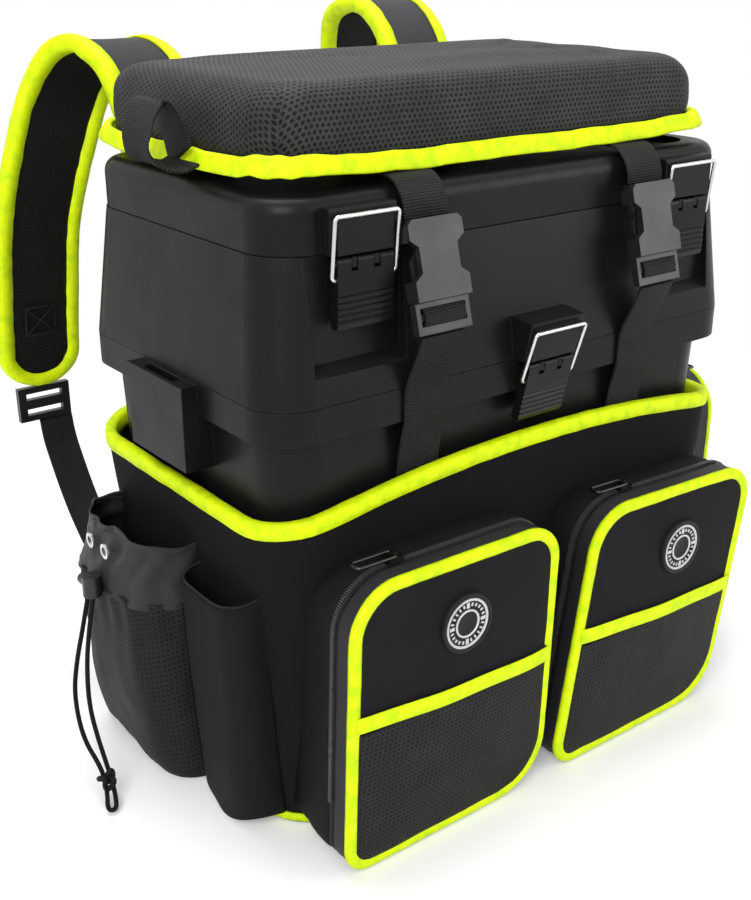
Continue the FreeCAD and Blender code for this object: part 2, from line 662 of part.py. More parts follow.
def make_upper_case():
    """The tray case: flared walls, tray floor, latch recesses, middle latch boss."""
    body = new_body("upper_case_shell")
    fittings = new_fittings("upper_case_fittings")
    bores = []
    foot = rounded_section(body, "box_width", "box_depth", "rim_corner", CASE_LOW)
    top_width = "(box_width - 2 * case_inset)"
    top_depth = "(box_depth - 2 * case_inset)"
    top = rounded_section(body, top_width, top_depth, "rim_corner", "case_high")
    loft(body, "AdditiveLoft", foot, top)

    floor_inset = case_inset_at("tray_floor_high")
    tray_low = rounded_section(
        body, f"box_width - 2 * {floor_inset} - 2 * shell_wall",
        f"box_depth - 2 * {floor_inset} - 2 * shell_wall", "rim_corner - shell_wall", "tray_floor_high",
    )
    tray_high = rounded_section(
        body, f"{top_width} - 2 * shell_wall", f"{top_depth} - 2 * shell_wall",
        "rim_corner - shell_wall", "case_high",
    )
    loft(body, "SubtractiveLoft", tray_low, tray_high)
    skirt = rounded_section(
        body, "box_width - 4 * shell_wall", "box_depth - 4 * shell_wall",
        "rim_corner - 2 * shell_wall", CASE_LOW,
    )
    pocket(body, skirt, f"tray_floor_high - shell_wall - {CASE_LOW}", reverse=True)

    backing_low = "(tray_floor_high - shell_wall)"
    for side in (-1, 1):
        latch_x = f"({side} * latch_spacing / 2)"
        corners = [f"({latch_x} - latch_recess_width / 2 - shell_wall)"]
        corners.append(f"({latch_x} + latch_recess_width / 2 + shell_wall)")
        sections = []
        for z in (backing_low, "case_high"):
            wall_y = f"(-(box_depth / 2 - {case_inset_at(z)} - shell_wall / 2))"
            section = new_sketch(body, "XY_Plane", z)
            add_rectangle(section, corners[0], corners[1], wall_y, f"(-({LATCH_SEAT} - shell_wall))")
            sections.append(section)
        loft(body, "AdditiveLoft", *sections)
        sill = [
            (f"(-{LATCH_SEAT})", "latch_recess_low + 9"),
            ("(-(box_depth / 2 + 2))", "latch_recess_low"),
            ("(-(box_depth / 2 + 2))", "case_high + 1"),
            (f"(-{LATCH_SEAT})", "case_high + 1"),
        ]
        side_pocket(body, latch_x, sill, "latch_recess_width")
        latch_ears(fittings, latch_x, LATCH_SEAT, LID_LATCH_OUT, "lever_hinge_high")
        bores.append(
            rod("pin_radius", "lever_width + 12", latch_x, f"-{LID_LATCH_OUT}", "lever_hinge_high")
        )

    for side in (-1, 1):
        x = f"({side} * hinge_spacing / 2)"
        knuckle(
            fittings, x, HINGE_BACK, HINGE_HIGH, "knuckle_length",
            "(box_depth / 2 - 2)", CASE_LOW, "(rim_high + 9)",
        )
        loose = "hinge_pin_radius + running_gap"
        bores.append(rod(loose, "knuckle_length + 2", x, HINGE_BACK, HINGE_HIGH))
        for end in (-1, 1):
            lid_x = f"({side} * hinge_spacing / 2 + {end} * (knuckle_length + parting_gap))"
            knuckle(
                fittings, lid_x, LID_HINGE_BACK, LID_HINGE_HIGH, "knuckle_length",
                "(box_depth / 2 - case_inset - 2)", "(case_high - 9)", "case_high",
            )
        bores.append(rod("hinge_pin_radius", "4 * knuckle_length", x, LID_HINGE_BACK, LID_HINGE_HIGH))

    foot = f"({CASE_LOW} + 0.5)"
    root = "(-(box_depth / 2 - 3.5))"
    bar_high = "(centre_latch_high + bail_height - bail_drop)"
    for ahead, top, width in (
        (BOSS_AHEAD, f"({bar_high} + 4)", "boss_width"),
        ("lever_front", bar_high, "lever_width"),
    ):
        boss = [
            (root, foot),
            (f"(-{leaning_face(foot, ahead)})", foot),
            (f"(-{leaning_face(top, ahead)})", top),
            (root, f"({top} + 2)"),
        ]
        side_pad(fittings, "centre_latch_x", boss, width)
    moulding("upper_case", body, fittings, bores)


def leaning_face(z, ahead):
    """A face ahead of the middle latch's hinge and parallel to its leaning lever."""
    rise = f"({z} - centre_latch_high) * tan(centre_latch_tilt)"
    return f"({CENTRE_HINGE_OUT} + {ahead} / cos(centre_latch_tilt) + {rise})"


def make_lid():
    """The lid: rounded top edge, seat recess, hollow underside and two latch bosses."""
    body = new_body("lid_shell")
    fittings = new_fittings("lid_fittings")
    bores = []
    foot = rounded_section(body, LID_WIDTH, LID_DEPTH, "rim_corner", LID_LOW)
    base = pad(body, foot, f"lid_high - {LID_LOW}")
    doc.recompute()
    edge_names = [
        f"Edge{k}"
        for k, edge in enumerate(base.Shape.Edges, start=1)
        if edge.BoundBox.ZMin > d.lid_high - 0.01
    ]
    rounding = body.newObject("PartDesign::Fillet", "lid_rounding")
    rounding.Base = (base, edge_names)
    bind(rounding, "Radius", "lid_edge")

    for ahead, height, width in (
        (BOSS_AHEAD, "boss_height", "boss_width"),
        ("lever_front", "(boss_height - 3.5)", "lever_width"),
    ):
        boss_out = f"({LID_LATCH_OUT} + {ahead})"
        boss = [
            (f"(-({LID_DEPTH} / 2 - 8))", f"({LID_LOW} + 0.3)"),
            (f"(-{boss_out})", f"({LID_LOW} + 0.3)"),
            (f"(-{boss_out})", f"({LID_LOW} + {height} - 1)"),
            (f"(-({boss_out} - 1))", f"({LID_LOW} + {height})"),
            (f"(-({LID_DEPTH} / 2 - 8))", f"({LID_LOW} + {height})"),
        ]
        for side in (-1, 1):
            side_pad(fittings, f"({side} * latch_spacing / 2)", boss, width)

    for side in (-1, 1):
        x = f"({side} * hinge_spacing / 2)"
        knuckle(
            fittings, x, LID_HINGE_BACK, LID_HINGE_HIGH, "knuckle_length",
            f"({LID_DEPTH} / 2 - 2)", LID_LOW, "(case_high + 9)",
        )
        loose = "hinge_pin_radius + running_gap"
        bores.append(rod(loose, "knuckle_length + 2", x, LID_HINGE_BACK, LID_HINGE_HIGH))

    recess_width = f"({LID_WIDTH} - 2 * lid_recess_margin)"
    recess_depth = f"({LID_DEPTH} - 2 * lid_recess_margin)"
    recess = rounded_section(body, recess_width, recess_depth, "rim_corner - 8", "lid_high")
    pocket(body, recess, "lid_recess_depth")
    hollow = rounded_section(
        body, f"{LID_WIDTH} - 2 * shell_wall", f"{LID_DEPTH} - 2 * shell_wall",
        "rim_corner - shell_wall", LID_LOW,
    )
    pocket(body, hollow, f"lid_high - lid_recess_depth - shell_wall - {LID_LOW}", reverse=True)
    moulding("lid", body, fittings, bores)


def make_pins():
    """Hinge and latch pins, each a plain rod seated in its knuckles or ears."""
    case_rods = []
    lid_rods = []
    for side in (-1, 1):
        x = f"({side} * hinge_spacing / 2)"
        length = "3 * knuckle_length + 2 * parting_gap"
        case_rods.append(rod("hinge_pin_radius", length, x, HINGE_BACK, HINGE_HIGH))
        lid_rods.append(rod("hinge_pin_radius", length, x, LID_HINGE_BACK, LID_HINGE_HIGH))
    keep("case_hinge_pins", compound(case_rods))
    keep("lid_hinge_pins", compound(lid_rods))

    across = "lever_width - 1"
    latch_rods = [
        rod("pin_radius", across, f"({side} * latch_spacing / 2)", f"-{LID_LATCH_OUT}", "lever_hinge_high")
        for side in (-1, 1)
    ]
    keep("lid_latch_pins", compound(latch_rods))
    centre = rod("pin_radius", across, "centre_latch_x", f"-{CENTRE_HINGE_OUT}", "centre_latch_high")
    keep("centre_latch_pin", centre)


# Draw latches

LATCHES = {
    "left": ("(-latch_spacing / 2)", LID_LATCH_OUT, "lever_hinge_high", False),
    "right": ("(latch_spacing / 2)", LID_LATCH_OUT, "lever_hinge_high", False),
    "centre": ("centre_latch_x", CENTRE_HINGE_OUT, "centre_latch_high", True),
}
GRIP_RIBS = 5


def make_latch_lever(name, x, out, z, leaning):
    """A lever about its own hinge line: round top, notches for the ears, ribbed grip."""
    body = new_body(f"latch_lever_{name}_body")
    back = "(lever_stand_off - lever_back)"
    face = "(-lever_front)"
    rib_low = "(-lever_length + 4)"
    rib_step = "((lever_length - bail_drop - 10) / 5)"
    profile = [(back, "-1"), (back, "-lever_length"), (f"({face} + 1.4)", "-lever_length")]
    for k in range(GRIP_RIBS):
        low = f"({rib_low} + {k} * {rib_step})"
        profile.append((f"({face} + 0.3)", f"({low} - 0.3 * {rib_step})"))
        profile.append((f"({face} + 1.1)", low))
        profile.append((f"({face} + 0.2)", f"({low} + 0.3 * {rib_step})"))
    profile += [(face, "(-bail_drop - 4)"), (face, "-0.5"), ("0", "-0.2")]
    side_pad(body, "0", profile, "lever_width")
    side_rod(body, "0", "0", "0", "lever_front", "lever_width")
    side_bore(body, "0", "0", "0", "pin_radius + running_gap", "lever_width + 2")
    side_bore(body, "0", "-bail_reach", "-bail_drop", "bail_wire + 2 * running_gap", "lever_width + 2")
    notch = [
        (f"({back} + 1)", f"(-{EAR_FOOT} - 1.2)"),
        (f"({face} - 1)", f"(-{EAR_FOOT} - 1.2)"),
        (f"({face} - 1)", "(lever_front + 1)"),
        (f"({back} + 1)", "(lever_front + 1)"),
    ]
    for side in (-1, 1):
        side_pocket(body, f"({side} * {EAR_X})", notch, f"({EAR_WIDTH} + 0.8)")
    angle = d.centre_latch_tilt if leaning else 0.0
    place(body, x, f"-{out}", z, Vector(1, 0, 0), angle)
    return keep(f"latch_lever_{name}", body)


def make_bail(name, x, out, z, leaning):
    """A wire bail: two inward ends in the lever's sides, two arms and a bar before the boss."""
    arm_x = d.lever_width / 2 + 2 * d.bail_wire + d.running_gap
    inner_x = d.lever_width / 2 - 5
    bar_out = d.lever_front + d.parting_gap + d.bail_wire
    bar_high = d.bail_height - d.bail_drop
    points = [
        Vector(-inner_x, -d.bail_reach, -d.bail_drop),
        Vector(-arm_x, -d.bail_reach, -d.bail_drop),
        Vector(-arm_x, -bar_out, bar_high),
        Vector(arm_x, -bar_out, bar_high),
        Vector(arm_x, -d.bail_reach, -d.bail_drop),
        Vector(inner_x, -d.bail_reach, -d.bail_drop),
    ]
    bends = [2 * d.bail_wire] * 4
    solid = tube(bent_wire(points, bends), d.bail_wire)
    feature = doc.addObject("Part::Feature", f"bail_{name}")
    feature.Shape = solid
    angle = d.centre_latch_tilt if leaning else 0.0
    place(feature, x, f"-{out}", z, Vector(1, 0, 0), angle)
    return keep(f"bail_{name}", feature)


def bent_wire(points, bends):
    """Straight runs joined by arcs of the given radii."""
    edges = []
    start = points[0]
    for before, corner, after, radius in zip(points, points[1:], points[2:], bends):
        back = (before - corner).normalize()
        ahead = (after - corner).normalize()
        half = back.getAngle(ahead) / 2
        reach = radius / math.tan(half)
        middle = corner + (back + ahead).normalize() * (radius / math.sin(half) - radius)
        arc_end = corner + ahead * reach
        edges.append(Part.makeLine(start, corner + back * reach))
        edges.append(Part.Arc(corner + back * reach, middle, arc_end).toShape())
        start = arc_end
    edges.append(Part.makeLine(start, points[-1]))
    return Part.Wire(edges)


# Side-release buckles on the front straps


def front_pad(body, out, corners, depth):
    """A pad towards the front from a profile of (x, z) corners, starting at out."""
    sketch = new_sketch(body, "XZ_Plane", out)
    add_outline(sketch, corners)
    return pad(body, sketch, depth)


def mirrored(corners):
    """The right-hand half outline, closed by its mirror image."""
    return corners + [(f"(-({x}))", z) for x, z in reversed(corners)]


def make_buckle_socket():
    """The socket of one buckle: front plate with side windows, side walls, webbing bar."""
    body = new_body("buckle_socket_body")
    half = "(buckle_width / 2)"
    window = "(buckle_width / 2 - 5.5)"
    plate = mirrored([
        (f"({half} - 3)", "0"),
        (half, "-3"),
        (half, "-11"),
        (window, "-15"),
        (window, "-29"),
        (half, "-33"),
        (half, "-socket_length"),
    ])
    front_pad(body, "4", plate, "4")
    for side in ("-", ""):
        for low, high in (("-12", "-3"), ("-socket_length", "-33")):
            near = f"({side}({half} - 3))"
            far = f"({side}{half})"
            front_pad(body, "-2", [(near, low), (far, low), (far, high), (near, high)], "7")
    bar_half = f"({half} - 3)"
    bar = [(f"-{bar_half}", "-9"), (bar_half, "-9"), (bar_half, "0"), (f"-{bar_half}", "0")]
    front_pad(body, "-2", bar, "7")
    return body


def make_buckle_prong():
    """The prong of one buckle: ladder frame, centre tongue and two side arms."""
    body = new_body("buckle_prong_body")
    half = "(buckle_width / 2)"
    frame = [
        (f"(-{half})", "-prong_length"),
        (half, "-prong_length"),
        (half, "(-socket_length - 0.5)"),
        (f"(-{half})", "(-socket_length - 0.5)"),
    ]
    front_pad(body, "-1", frame, "5")
    front_pad(body, "-0.5", [("-3", "-46"), ("3", "-46"), ("3", "-18"), ("-3", "-18")], "2.5")
    for side in ("-", ""):
        arm = [
            (f"({side}8)", "(-socket_length - 1)"),
            (f"({side}13)", "(-socket_length - 1)"),
            (f"({side}15.4)", "-31"),
            (f"({side}15.4)", "-22"),
            (f"({side}9)", "-15"),
            (f"({side}9)", "-20"),
            (f"({side}12)", "-25"),
            (f"({side}11)", "-34"),
        ]
        front_pad(body, "-0.5", arm, "2.5")
    slot_half = "(webbing_width / 2 + 0.5)"
    for low, high in (("-50.5", "-47.5"), ("-57.5", "-54.5")):
        slot = new_sketch(body, "XZ_Plane", "5")
        add_rectangle(slot, f"-{slot_half}", slot_half, low, high)
        pocket(body, slot, "8")
    return body


def make_buckles():
    sockets = []
    prongs = []
    for side in (-1, 1):
        x = f"({side} * strap_spacing / 2)"
        for pieces, maker in ((sockets, make_buckle_socket), (prongs, make_buckle_prong)):
            body = maker()
            place(body, x, "-buckle_out", "buckle_high", Vector(1, 0, 0), -d.buckle_tilt)
            pieces.append(body)
    keep("buckle_sockets", compound(sockets))
    keep("buckle_prongs", compound(prongs))


def make_front_straps():
    """Webbing from the cushion over the lid to the sockets, and from the prongs into the bag."""
    foot_y = -(d.buckle_out + d.prong_length * math.sin(math.radians(d.buckle_tilt)))
    foot_z = d.buckle_high - d.prong_length * math.cos(math.radians(d.buckle_tilt))
    rim_y = -(d.box_depth / 2 + d.webbing_thickness / 2 + 0.5)
    tub_y = -(d.box_depth / 2 - d.tub_inset)
    rim_low = d.rim_high - d.rim_height
    lower = [
        (foot_y - 1.6, foot_z - 1),
        (foot_y + 4, foot_z - 15),
        (rim_y - 2.2, d.rim_high + 4),
        (rim_y, d.rim_high - 8),
        (rim_y, rim_low),
        (tub_y - 6.2, rim_low - 15),
        (tub_y - 3.6, rim_low - 32),
        (tub_y - 2, rim_low - 60),
        (tub_y - 0.8, rim_low - 78),
    ]
    front_edge = d.cushion_shift - d.cushion_depth / 2
    strap_z = d.cushion_low - d.webbing_thickness / 2 - d.soft_gap
    upper = [
        (front_edge + 8, strap_z),
        (front_edge, strap_z),
        (front_edge - 9, strap_z - 1.7),
        (-d.buckle_out + 3, d.buckle_high + 14),
        (-d.buckle_out - 0.2, d.buckle_high + 7),
        (-d.buckle_out - 1, d.buckle_high + 0.6),
    ]
    lower_straps = []
    upper_straps = []
    for side in (-1, 1):
        x = side * d.strap_spacing / 2
        lower_straps.append(smooth_band(lower, d.webbing_thickness, d.webbing_width, x))
        upper_straps.append(smooth_band(upper, d.webbing_thickness, d.webbing_width, x))
    soft_piece("front_straps_lower", Part.makeCompound(lower_straps))
    soft_piece("front_straps_upper", Part.makeCompound(upper_straps))


# The bag


def bag_shell(grow, low, high):
    """The bag's outline grown outwards by grow, between two heights, along its taper."""
    wires = []
    for z in (low, high):
        share = z / d.bag_loft
        width = d.bag_foot_width + (d.bag_width - d.bag_foot_width) * share + 2 * grow
        depth = d.bag_foot_depth + (d.bag_depth - d.bag_foot_depth) * share + 2 * grow
        wires.append(rounded_wire(width, depth, d.bag_corner + grow, z))
    return Part.makeLoft(wires, True, True)


def edge_band(low_shift, high_shift):
    """Everything between two heights measured from the bag's waved top edge."""
    half = d.bag_width / 2 + 20
    reach = d.bag_depth / 2 + 20
    curves = []
    for shift in (low_shift, high_shift):
        left = Vector(-half, -reach, d.bag_edge_left + shift)
        middle = Vector(d.bag_width * 0.1, -reach, d.bag_edge_middle + shift)
        right = Vector(half, -reach, d.bag_edge_right + shift)
        curves.append((left, Part.Arc(left, middle, right).toShape(), right))
    (low_left, low, low_right), (high_left, high, high_right) = curves
    rim = Part.Wire([low, Part.makeLine(low_right, high_right), high, Part.makeLine(high_left, low_left)])
    return Part.Face(rim).extrude(Vector(0, 2 * reach, 0))


def make_bag():
    bag_outer = bag_shell(0, 0, d.bag_loft)
    inner = bag_shell(-d.bag_wall, d.tub_floor_high - d.soft_gap, d.bag_loft + 10)
    below_edge = edge_band(-d.bag_loft * 2, 0)
    cloth = solid_of(bag_outer.cut(inner).common(below_edge))
    soft_piece("bag_body", cloth)

    over = bag_shell(d.binding_thickness, 120, d.bag_loft + 10)
    under = bag_shell(-d.bag_wall - d.binding_thickness, 110, d.bag_loft + 20)
    tape = over.cut(under).common(edge_band(-d.binding_height, d.binding_thickness))
    soft_piece("bag_top_binding", solid_of(tape.cut(cloth)))

    around = bag_shell(d.binding_thickness + d.soft_gap, 120, d.bag_loft + 10)
    tape_space = around.common(edge_band(-d.binding_height - d.soft_gap, d.bag_loft))
    return bag_outer, tape_space


def make_base_binding(bag_outer, blocks):
    """Lime tape round the foot of the bag, interrupted where the pockets are sewn on."""
    tape = bag_shell(d.binding_thickness * 1.5, d.base_tape_low, d.base_tape_low + d.base_tape_height)
    soft_piece("bag_base_binding", tape.cut([bag_outer] + blocks))


def bag_back_at(z):
    share = z / d.bag_loft
    return (d.bag_foot_depth + (d.bag_depth - d.bag_foot_depth) * share) / 2


def case_back_at(z):
    """The back face of the tray case at a height."""
    case_low = d.rim_high + d.parting_gap
    return d.box_depth / 2 - d.case_inset * (z - case_low) / (d.case_high - case_low)


def extruded_panel(profile, width):
    """A padded panel from its (y, z) profile, across X."""
    points = [Vector(-width / 2, y, z) for y, z in profile]
    return Part.Face(Part.makePolygon(points + points[:1])).extrude(Vector(width, 0, 0))


def make_back_panel():
    gap = d.soft_gap + d.binding_thickness
    low_y = bag_back_at(d.panel_low) + gap
    high_y = bag_back_at(d.bag_loft) + gap
    thick = d.panel_thickness
    lower = [
        (low_y, d.panel_low),
        (high_y, d.bag_loft),
        (high_y, d.panel_split - 4),
        (high_y + 4, d.panel_split),
        (high_y + thick - 4, d.panel_split),
        (high_y + thick, d.panel_split - 4),
        (high_y + thick, d.bag_loft),
        (low_y + thick, d.panel_low),
    ]
    soft_piece("back_panel_lower", extruded_panel(lower, d.panel_width))
    front_low = case_back_at(d.panel_upper_low) + d.soft_gap
    front_high = case_back_at(d.panel_high) + d.soft_gap
    upper = [
        (front_low, d.panel_upper_low),
        (front_high, d.panel_high),
        (front_high + thick - 4, d.panel_high),
        (front_high + thick, d.panel_high - 4),
        (front_low + thick, d.panel_upper_low + 4),
        (front_low + thick - 4, d.panel_upper_low),
    ]
    soft_piece("back_panel_upper", extruded_panel(upper, d.panel_width))


# Zipped pockets: built facing the front about x = 0, then set against the bag


def pocket_wire(shape, inset, out):
    """A pocket's outline, inset all round, as a wire standing at y = -out."""
    head = shape.low + shape.height

    def corner(side, z):
        shift = shape.lean * (head - z) / shape.height
        return Vector(side * (shape.width / 2 - inset) - shift, -out, z)

    corners = [
        corner(-1, shape.low + inset),
        corner(1, shape.low + inset),
        corner(1, head - shape.slope - inset),
        corner(-1, head - inset),
    ]
    return rounded_polygon(corners, [radius - inset for radius in shape.radii])


def pocket_block(shape, inset, near, far):
    """A solid of the pocket's outline between two distances in front of the bag's middle."""
    wire = pocket_wire(shape, inset, near)
    return Part.Face(wire).extrude(Vector(0, near - far, 0))


POCKET_ROOT = 28


def make_pocket(name, shape, bag, full_face):
    """The gusset, zip tape, front cup, piping, stripe, mesh panel and badge of a pocket."""
    zip_out = shape.edge + d.pocket_zip_out
    face_out = shape.edge + d.pocket_face_out
    root_out = shape.edge - POCKET_ROOT
    wall = d.pocket_wall

    sleeve = pocket_block(shape, 0, root_out, zip_out)
    sleeve = sleeve.cut(pocket_block(shape, wall, root_out - 1, zip_out + 1))
    sleeve.Placement = shape.seat
    block = pocket_block(shape, -d.soft_gap, root_out, zip_out)
    block.Placement = shape.seat
    gusset = sleeve.cut(bag)
    gusset = max(gusset.Solids, key=lambda solid: solid.Volume)
    soft_piece(f"pocket_gusset_{name}", gusset)

    zip_far = zip_out + d.zip_height
    tape = pocket_block(shape, -d.binding_thickness / 2, zip_out, zip_far)
    tape = tape.cut(pocket_block(shape, wall, zip_out - 1, zip_far + 1))

    cup_near = zip_far + d.soft_gap
    cup = pocket_block(shape, 0, cup_near, face_out)
    cup = cup.cut(pocket_block(shape, wall, cup_near - 1, face_out - wall))
    soft_piece(f"pocket_front_{name}", cup, shape.seat)

    piping_far = face_out + d.piping_thickness
    trim = pocket_block(shape, -0.8, face_out, piping_far).cut(
        pocket_block(shape, d.piping_width, face_out - 1, piping_far + 1)
    )
    inner = pocket_block(shape, d.piping_width, face_out, piping_far)
    if full_face:
        reach = shape.width / 2 + shape.lean
        rise = d.stripe_slope * reach / shape.width
        stripe_low = shape.stripe_high - d.stripe_height / 2
        stripe_high = shape.stripe_high + d.stripe_height / 2
        stripe_corners = [
            Vector(-reach, -face_out, stripe_low + rise),
            Vector(reach, -face_out, stripe_low - rise),
            Vector(reach, -face_out, stripe_high - rise),
            Vector(-reach, -face_out, stripe_high + rise),
        ]
        outline = Part.Face(Part.makePolygon(stripe_corners + stripe_corners[:1]))
        stripe = outline.extrude(Vector(0, -d.piping_thickness, 0)).common(inner)
        trim = trim.fuse(stripe).removeSplitter()
        below = Part.makeBox(
            2 * reach, 40, shape.stripe_high, Vector(-reach, -face_out - 20, 0)
        )
        mesh = inner.common(below).cut(trim)
        mesh = max(mesh.Solids, key=lambda solid: solid.Volume)
        thinner = Part.makeBox(2 * reach, 40, shape.height, Vector(-reach, -face_out - 0.8, 0))
        soft_piece(f"pocket_mesh_{name}", solid_of(mesh.common(thinner)), shape.seat)
        badge = new_body(f"pocket_badge_{name}_body")
        sketch = new_sketch(badge, "XZ_Plane", "bag_depth / 2 + pocket_face_out")
        add_circle(sketch, f"pocket_{name}_x", f"badge_{name}_high", "badge_radius")
        pad(badge, sketch, "badge_thickness")
        keep(f"pocket_badge_{name}", badge)
    soft_piece(f"pocket_trim_{name}", solid_of(trim), shape.seat)
    tape = solid_of(tape)
    tape.Placement = shape.seat
    return tape, block


def make_zip_slider(name, shape):
    """The slider on the pocket's top zip and its wire puller lying towards the left."""
    half = d.slider_length / 2
    x = d.slider_shift
    slope = shape.slope / shape.width
    top = shape.low + shape.height - slope * (x + shape.width / 2)
    out = shape.edge + d.pocket_zip_out + d.zip_height / 2
    angle = math.degrees(math.atan(slope))
    on_top = Placement(Vector(x, -out, top + 0.6), Rotation(Vector(0, 1, 0), angle))

    body_block = Part.makeBox(d.slider_length, 7, 3, Vector(-half, -3.5, 0.3))
    arch = Part.makeBox(5, 2.4, 3, Vector(-2.5, -1.2, 3.3)).cut(
        Part.makeCylinder(PULLER_WIRE + 0.15, 4, Vector(0, -2, 4.9), Vector(0, 1, 0))
    )
    seat = shape.seat.multiply(on_top)
    soft_piece(f"zip_slider_{name}", solid_of(body_block.fuse(arch)), seat)

    soft_piece(f"zip_puller_{name}", rounded_ring(-d.puller_length, 0, 4, 4.9), seat)


PULLER_WIRE = 1.0


def rounded_ring(x_low, x_high, half_width, z):
    """A closed wire loop with round corners, lying level."""
    corners = [
        Vector(x_low, -half_width, z),
        Vector(x_high, -half_width, z),
        Vector(x_high, half_width, z),
        Vector(x_low, half_width, z),
    ]
    path = rounded_polygon(corners, [2.2] * 4)
    start = path.Edges[1].valueAt(path.Edges[1].FirstParameter)
    ordered = Part.Wire(path.Edges[1:] + path.Edges[:1])
    section = Part.Wire(Part.makeCircle(PULLER_WIRE, start, Vector(1, 0, 0)))
    return ordered.makePipeShell([section], True, False)


def make_pockets(bag_outer, tape_space):
    front_edge = d.bag_depth / 2
    side_edge = d.bag_width / 2
    front_radii = [d.pocket_corner_low, d.pocket_corner_sag, d.pocket_corner_right, d.pocket_corner]
    front = dict(width=d.pocket_width, low=d.pocket_low, edge=front_edge, radii=front_radii)
    quarter_turn = Placement(Vector(), Rotation(Vector(0, 0, 1), 90))
    shapes = {
        "left": SimpleNamespace(
            **front, height=d.pocket_left_height, slope=d.pocket_left_slope,
            lean=d.pocket_left_lean, stripe_high=d.stripe_left_high,
            seat=Placement(Vector(d.pocket_left_x, 0, 0), Rotation()),
        ),
        "right": SimpleNamespace(
            **front, height=d.pocket_right_height, slope=d.pocket_right_slope,
            lean=d.pocket_right_lean, stripe_high=d.stripe_right_high,
            seat=Placement(Vector(d.pocket_right_x, 0, 0), Rotation()),
        ),
        "side": SimpleNamespace(
            width=d.side_pocket_width, height=d.side_pocket_height, low=d.side_pocket_low,
            edge=side_edge, radii=[d.pocket_corner] * 4, slope=0.0, lean=0.0, seat=quarter_turn,
        ),
    }
    tapes = []
    blocks = []
    for name, shape in shapes.items():
        tape, block = make_pocket(name, shape, [bag_outer, tape_space], full_face=name != "side")
        tapes.append(tape)
        blocks.append(block)
        make_zip_slider(name, shape)
    soft_piece("pocket_zips", Part.makeCompound(tapes))
    return blocks


# Pockets on the left side


BAND_DRAW = 0.93


def bag_side_at(z):
    share = z / d.bag_loft
    return (d.bag_foot_width + (d.bag_width - d.bag_foot_width) * share) / 2


def side_sleeve(front, rear, reaches, wall, bag_outer, closed_foot):
    """An open-topped pocket on the bag's left side: (height, reach) pairs from foot to top."""
    middle = (front + rear) / 2
    length = rear - front

    def stack(inset, lift):
        wires = []
        for z, reach in reaches:
            face = bag_side_at(z)
            near = face - 12
            far = face + reach - inset
            radius = min(reach, length / 2) * 0.85 - inset
            wires.append(
                rounded_wire(far - near + radius, length - 2 * inset, radius, z + lift,
                             x=-(far + near - radius) / 2, y=middle)
            )
        return Part.makeLoft(wires, True, True)

    sleeve = stack(0, 0).cut(stack(wall, wall if closed_foot else 0))
    top = max(z for z, _ in reaches)
    foot = min(z for z, _ in reaches)
    across = d.bag_width
    window = Part.makeBox(across, across, top - foot, Vector(-across, -across / 2, foot))
    sleeve = sleeve.common(window).cut(bag_outer)
    return max(sleeve.Solids, key=lambda solid: solid.Volume)


def side_block(front, rear, reach):
    """The space that a side pocket takes up at the foot of the bag."""
    depth = reach + d.bag_corner
    high = d.mesh_pocket_low + 20
    return Part.makeBox(depth, rear - front, high, Vector(-bag_side_at(0) - reach, front, 0))


def make_side_pockets(bag_outer):
    reach = d.mesh_pocket_reach
    mesh = side_sleeve(
        d.mesh_pocket_front, d.mesh_pocket_rear,
        [(d.mesh_pocket_low, reach * 0.5), (d.mesh_pocket_low + 26, reach * 0.85),
         (d.mesh_high, reach)],
        d.mesh_wall, bag_outer, closed_foot=True,
    )
    soft_piece("mesh_pocket", mesh)
    band = side_sleeve(
        d.mesh_pocket_front, d.mesh_pocket_rear,
        [(d.mesh_high, reach), (d.band_high, reach * BAND_DRAW)],
        d.mesh_wall, bag_outer, closed_foot=False,
    )
    soft_piece("mesh_pocket_band", band)
    sleeve = side_sleeve(
        d.tube_pocket_front, d.tube_pocket_rear,
        [(1.0, d.tube_pocket_reach), (d.tube_pocket_high, d.tube_pocket_reach * 0.9)],
        d.pocket_wall, bag_outer, closed_foot=True,
    )
    soft_piece("tube_pocket", sleeve)
    margin = d.soft_gap
    return [
        side_block(d.mesh_pocket_front - margin, d.mesh_pocket_rear + margin, reach),
        side_block(d.tube_pocket_front - margin, d.tube_pocket_rear + margin, reach),
    ]


# Draw cord of the mesh pocket

LOCK_RADIUS = 6.0
LOCK_HEIGHT = 14.0
LOCK_OUT = bag_side_at(d.mesh_high) + d.mesh_pocket_reach + d.soft_gap + LOCK_RADIUS
CORD_LOCK_AT = Vector(-LOCK_OUT, 37.9, 134)
CORD_FROM_LOCK = [
    (-1.9, 2.7, -7),
    (-7.5, 2.5, -28.5),
    (-13, 5.7, -54),
    (-17.5, 5.1, -78),
    (-21, -10.9, -101),
    (-19.1, -32.9, -113),
    (-21.5, -43.4, -123.5),
    (-26.1, -51.5, -130.6),
    (-20.5, -53.5, -131.1),
    (-17.1, -44.9, -124.4),
    (-16.1, -36.4, -114),
    (-17.1, -26.9, -95),
    (-16.5, -16.9, -78),
    (-14, -10.9, -58.5),
    (-8.5, -4.9, -34.5),
    (-0.9, -2.3, -7),
]
CORD_ROUTE = [CORD_LOCK_AT + Vector(step) for step in CORD_FROM_LOCK]
KNOT_AT = CORD_LOCK_AT + Vector(-18.3, -38.1, -118.4)
KNOT_LEAN = 35


def make_draw_cord():
    path = cord_wire(CORD_ROUTE, "draw_cord")
    soft_piece("draw_cord", tube(path, d.cord_radius))
    knot = Part.makeSphere(d.knot_radius)
    stretch = FreeCAD.Matrix()
    stretch.scale(1, 1, d.knot_height / (2 * d.knot_radius))
    knot = knot.transformGeometry(stretch)
    soft_piece("cord_knot", knot, Placement(KNOT_AT, Rotation(Vector(1, 0, 0), KNOT_LEAN)))


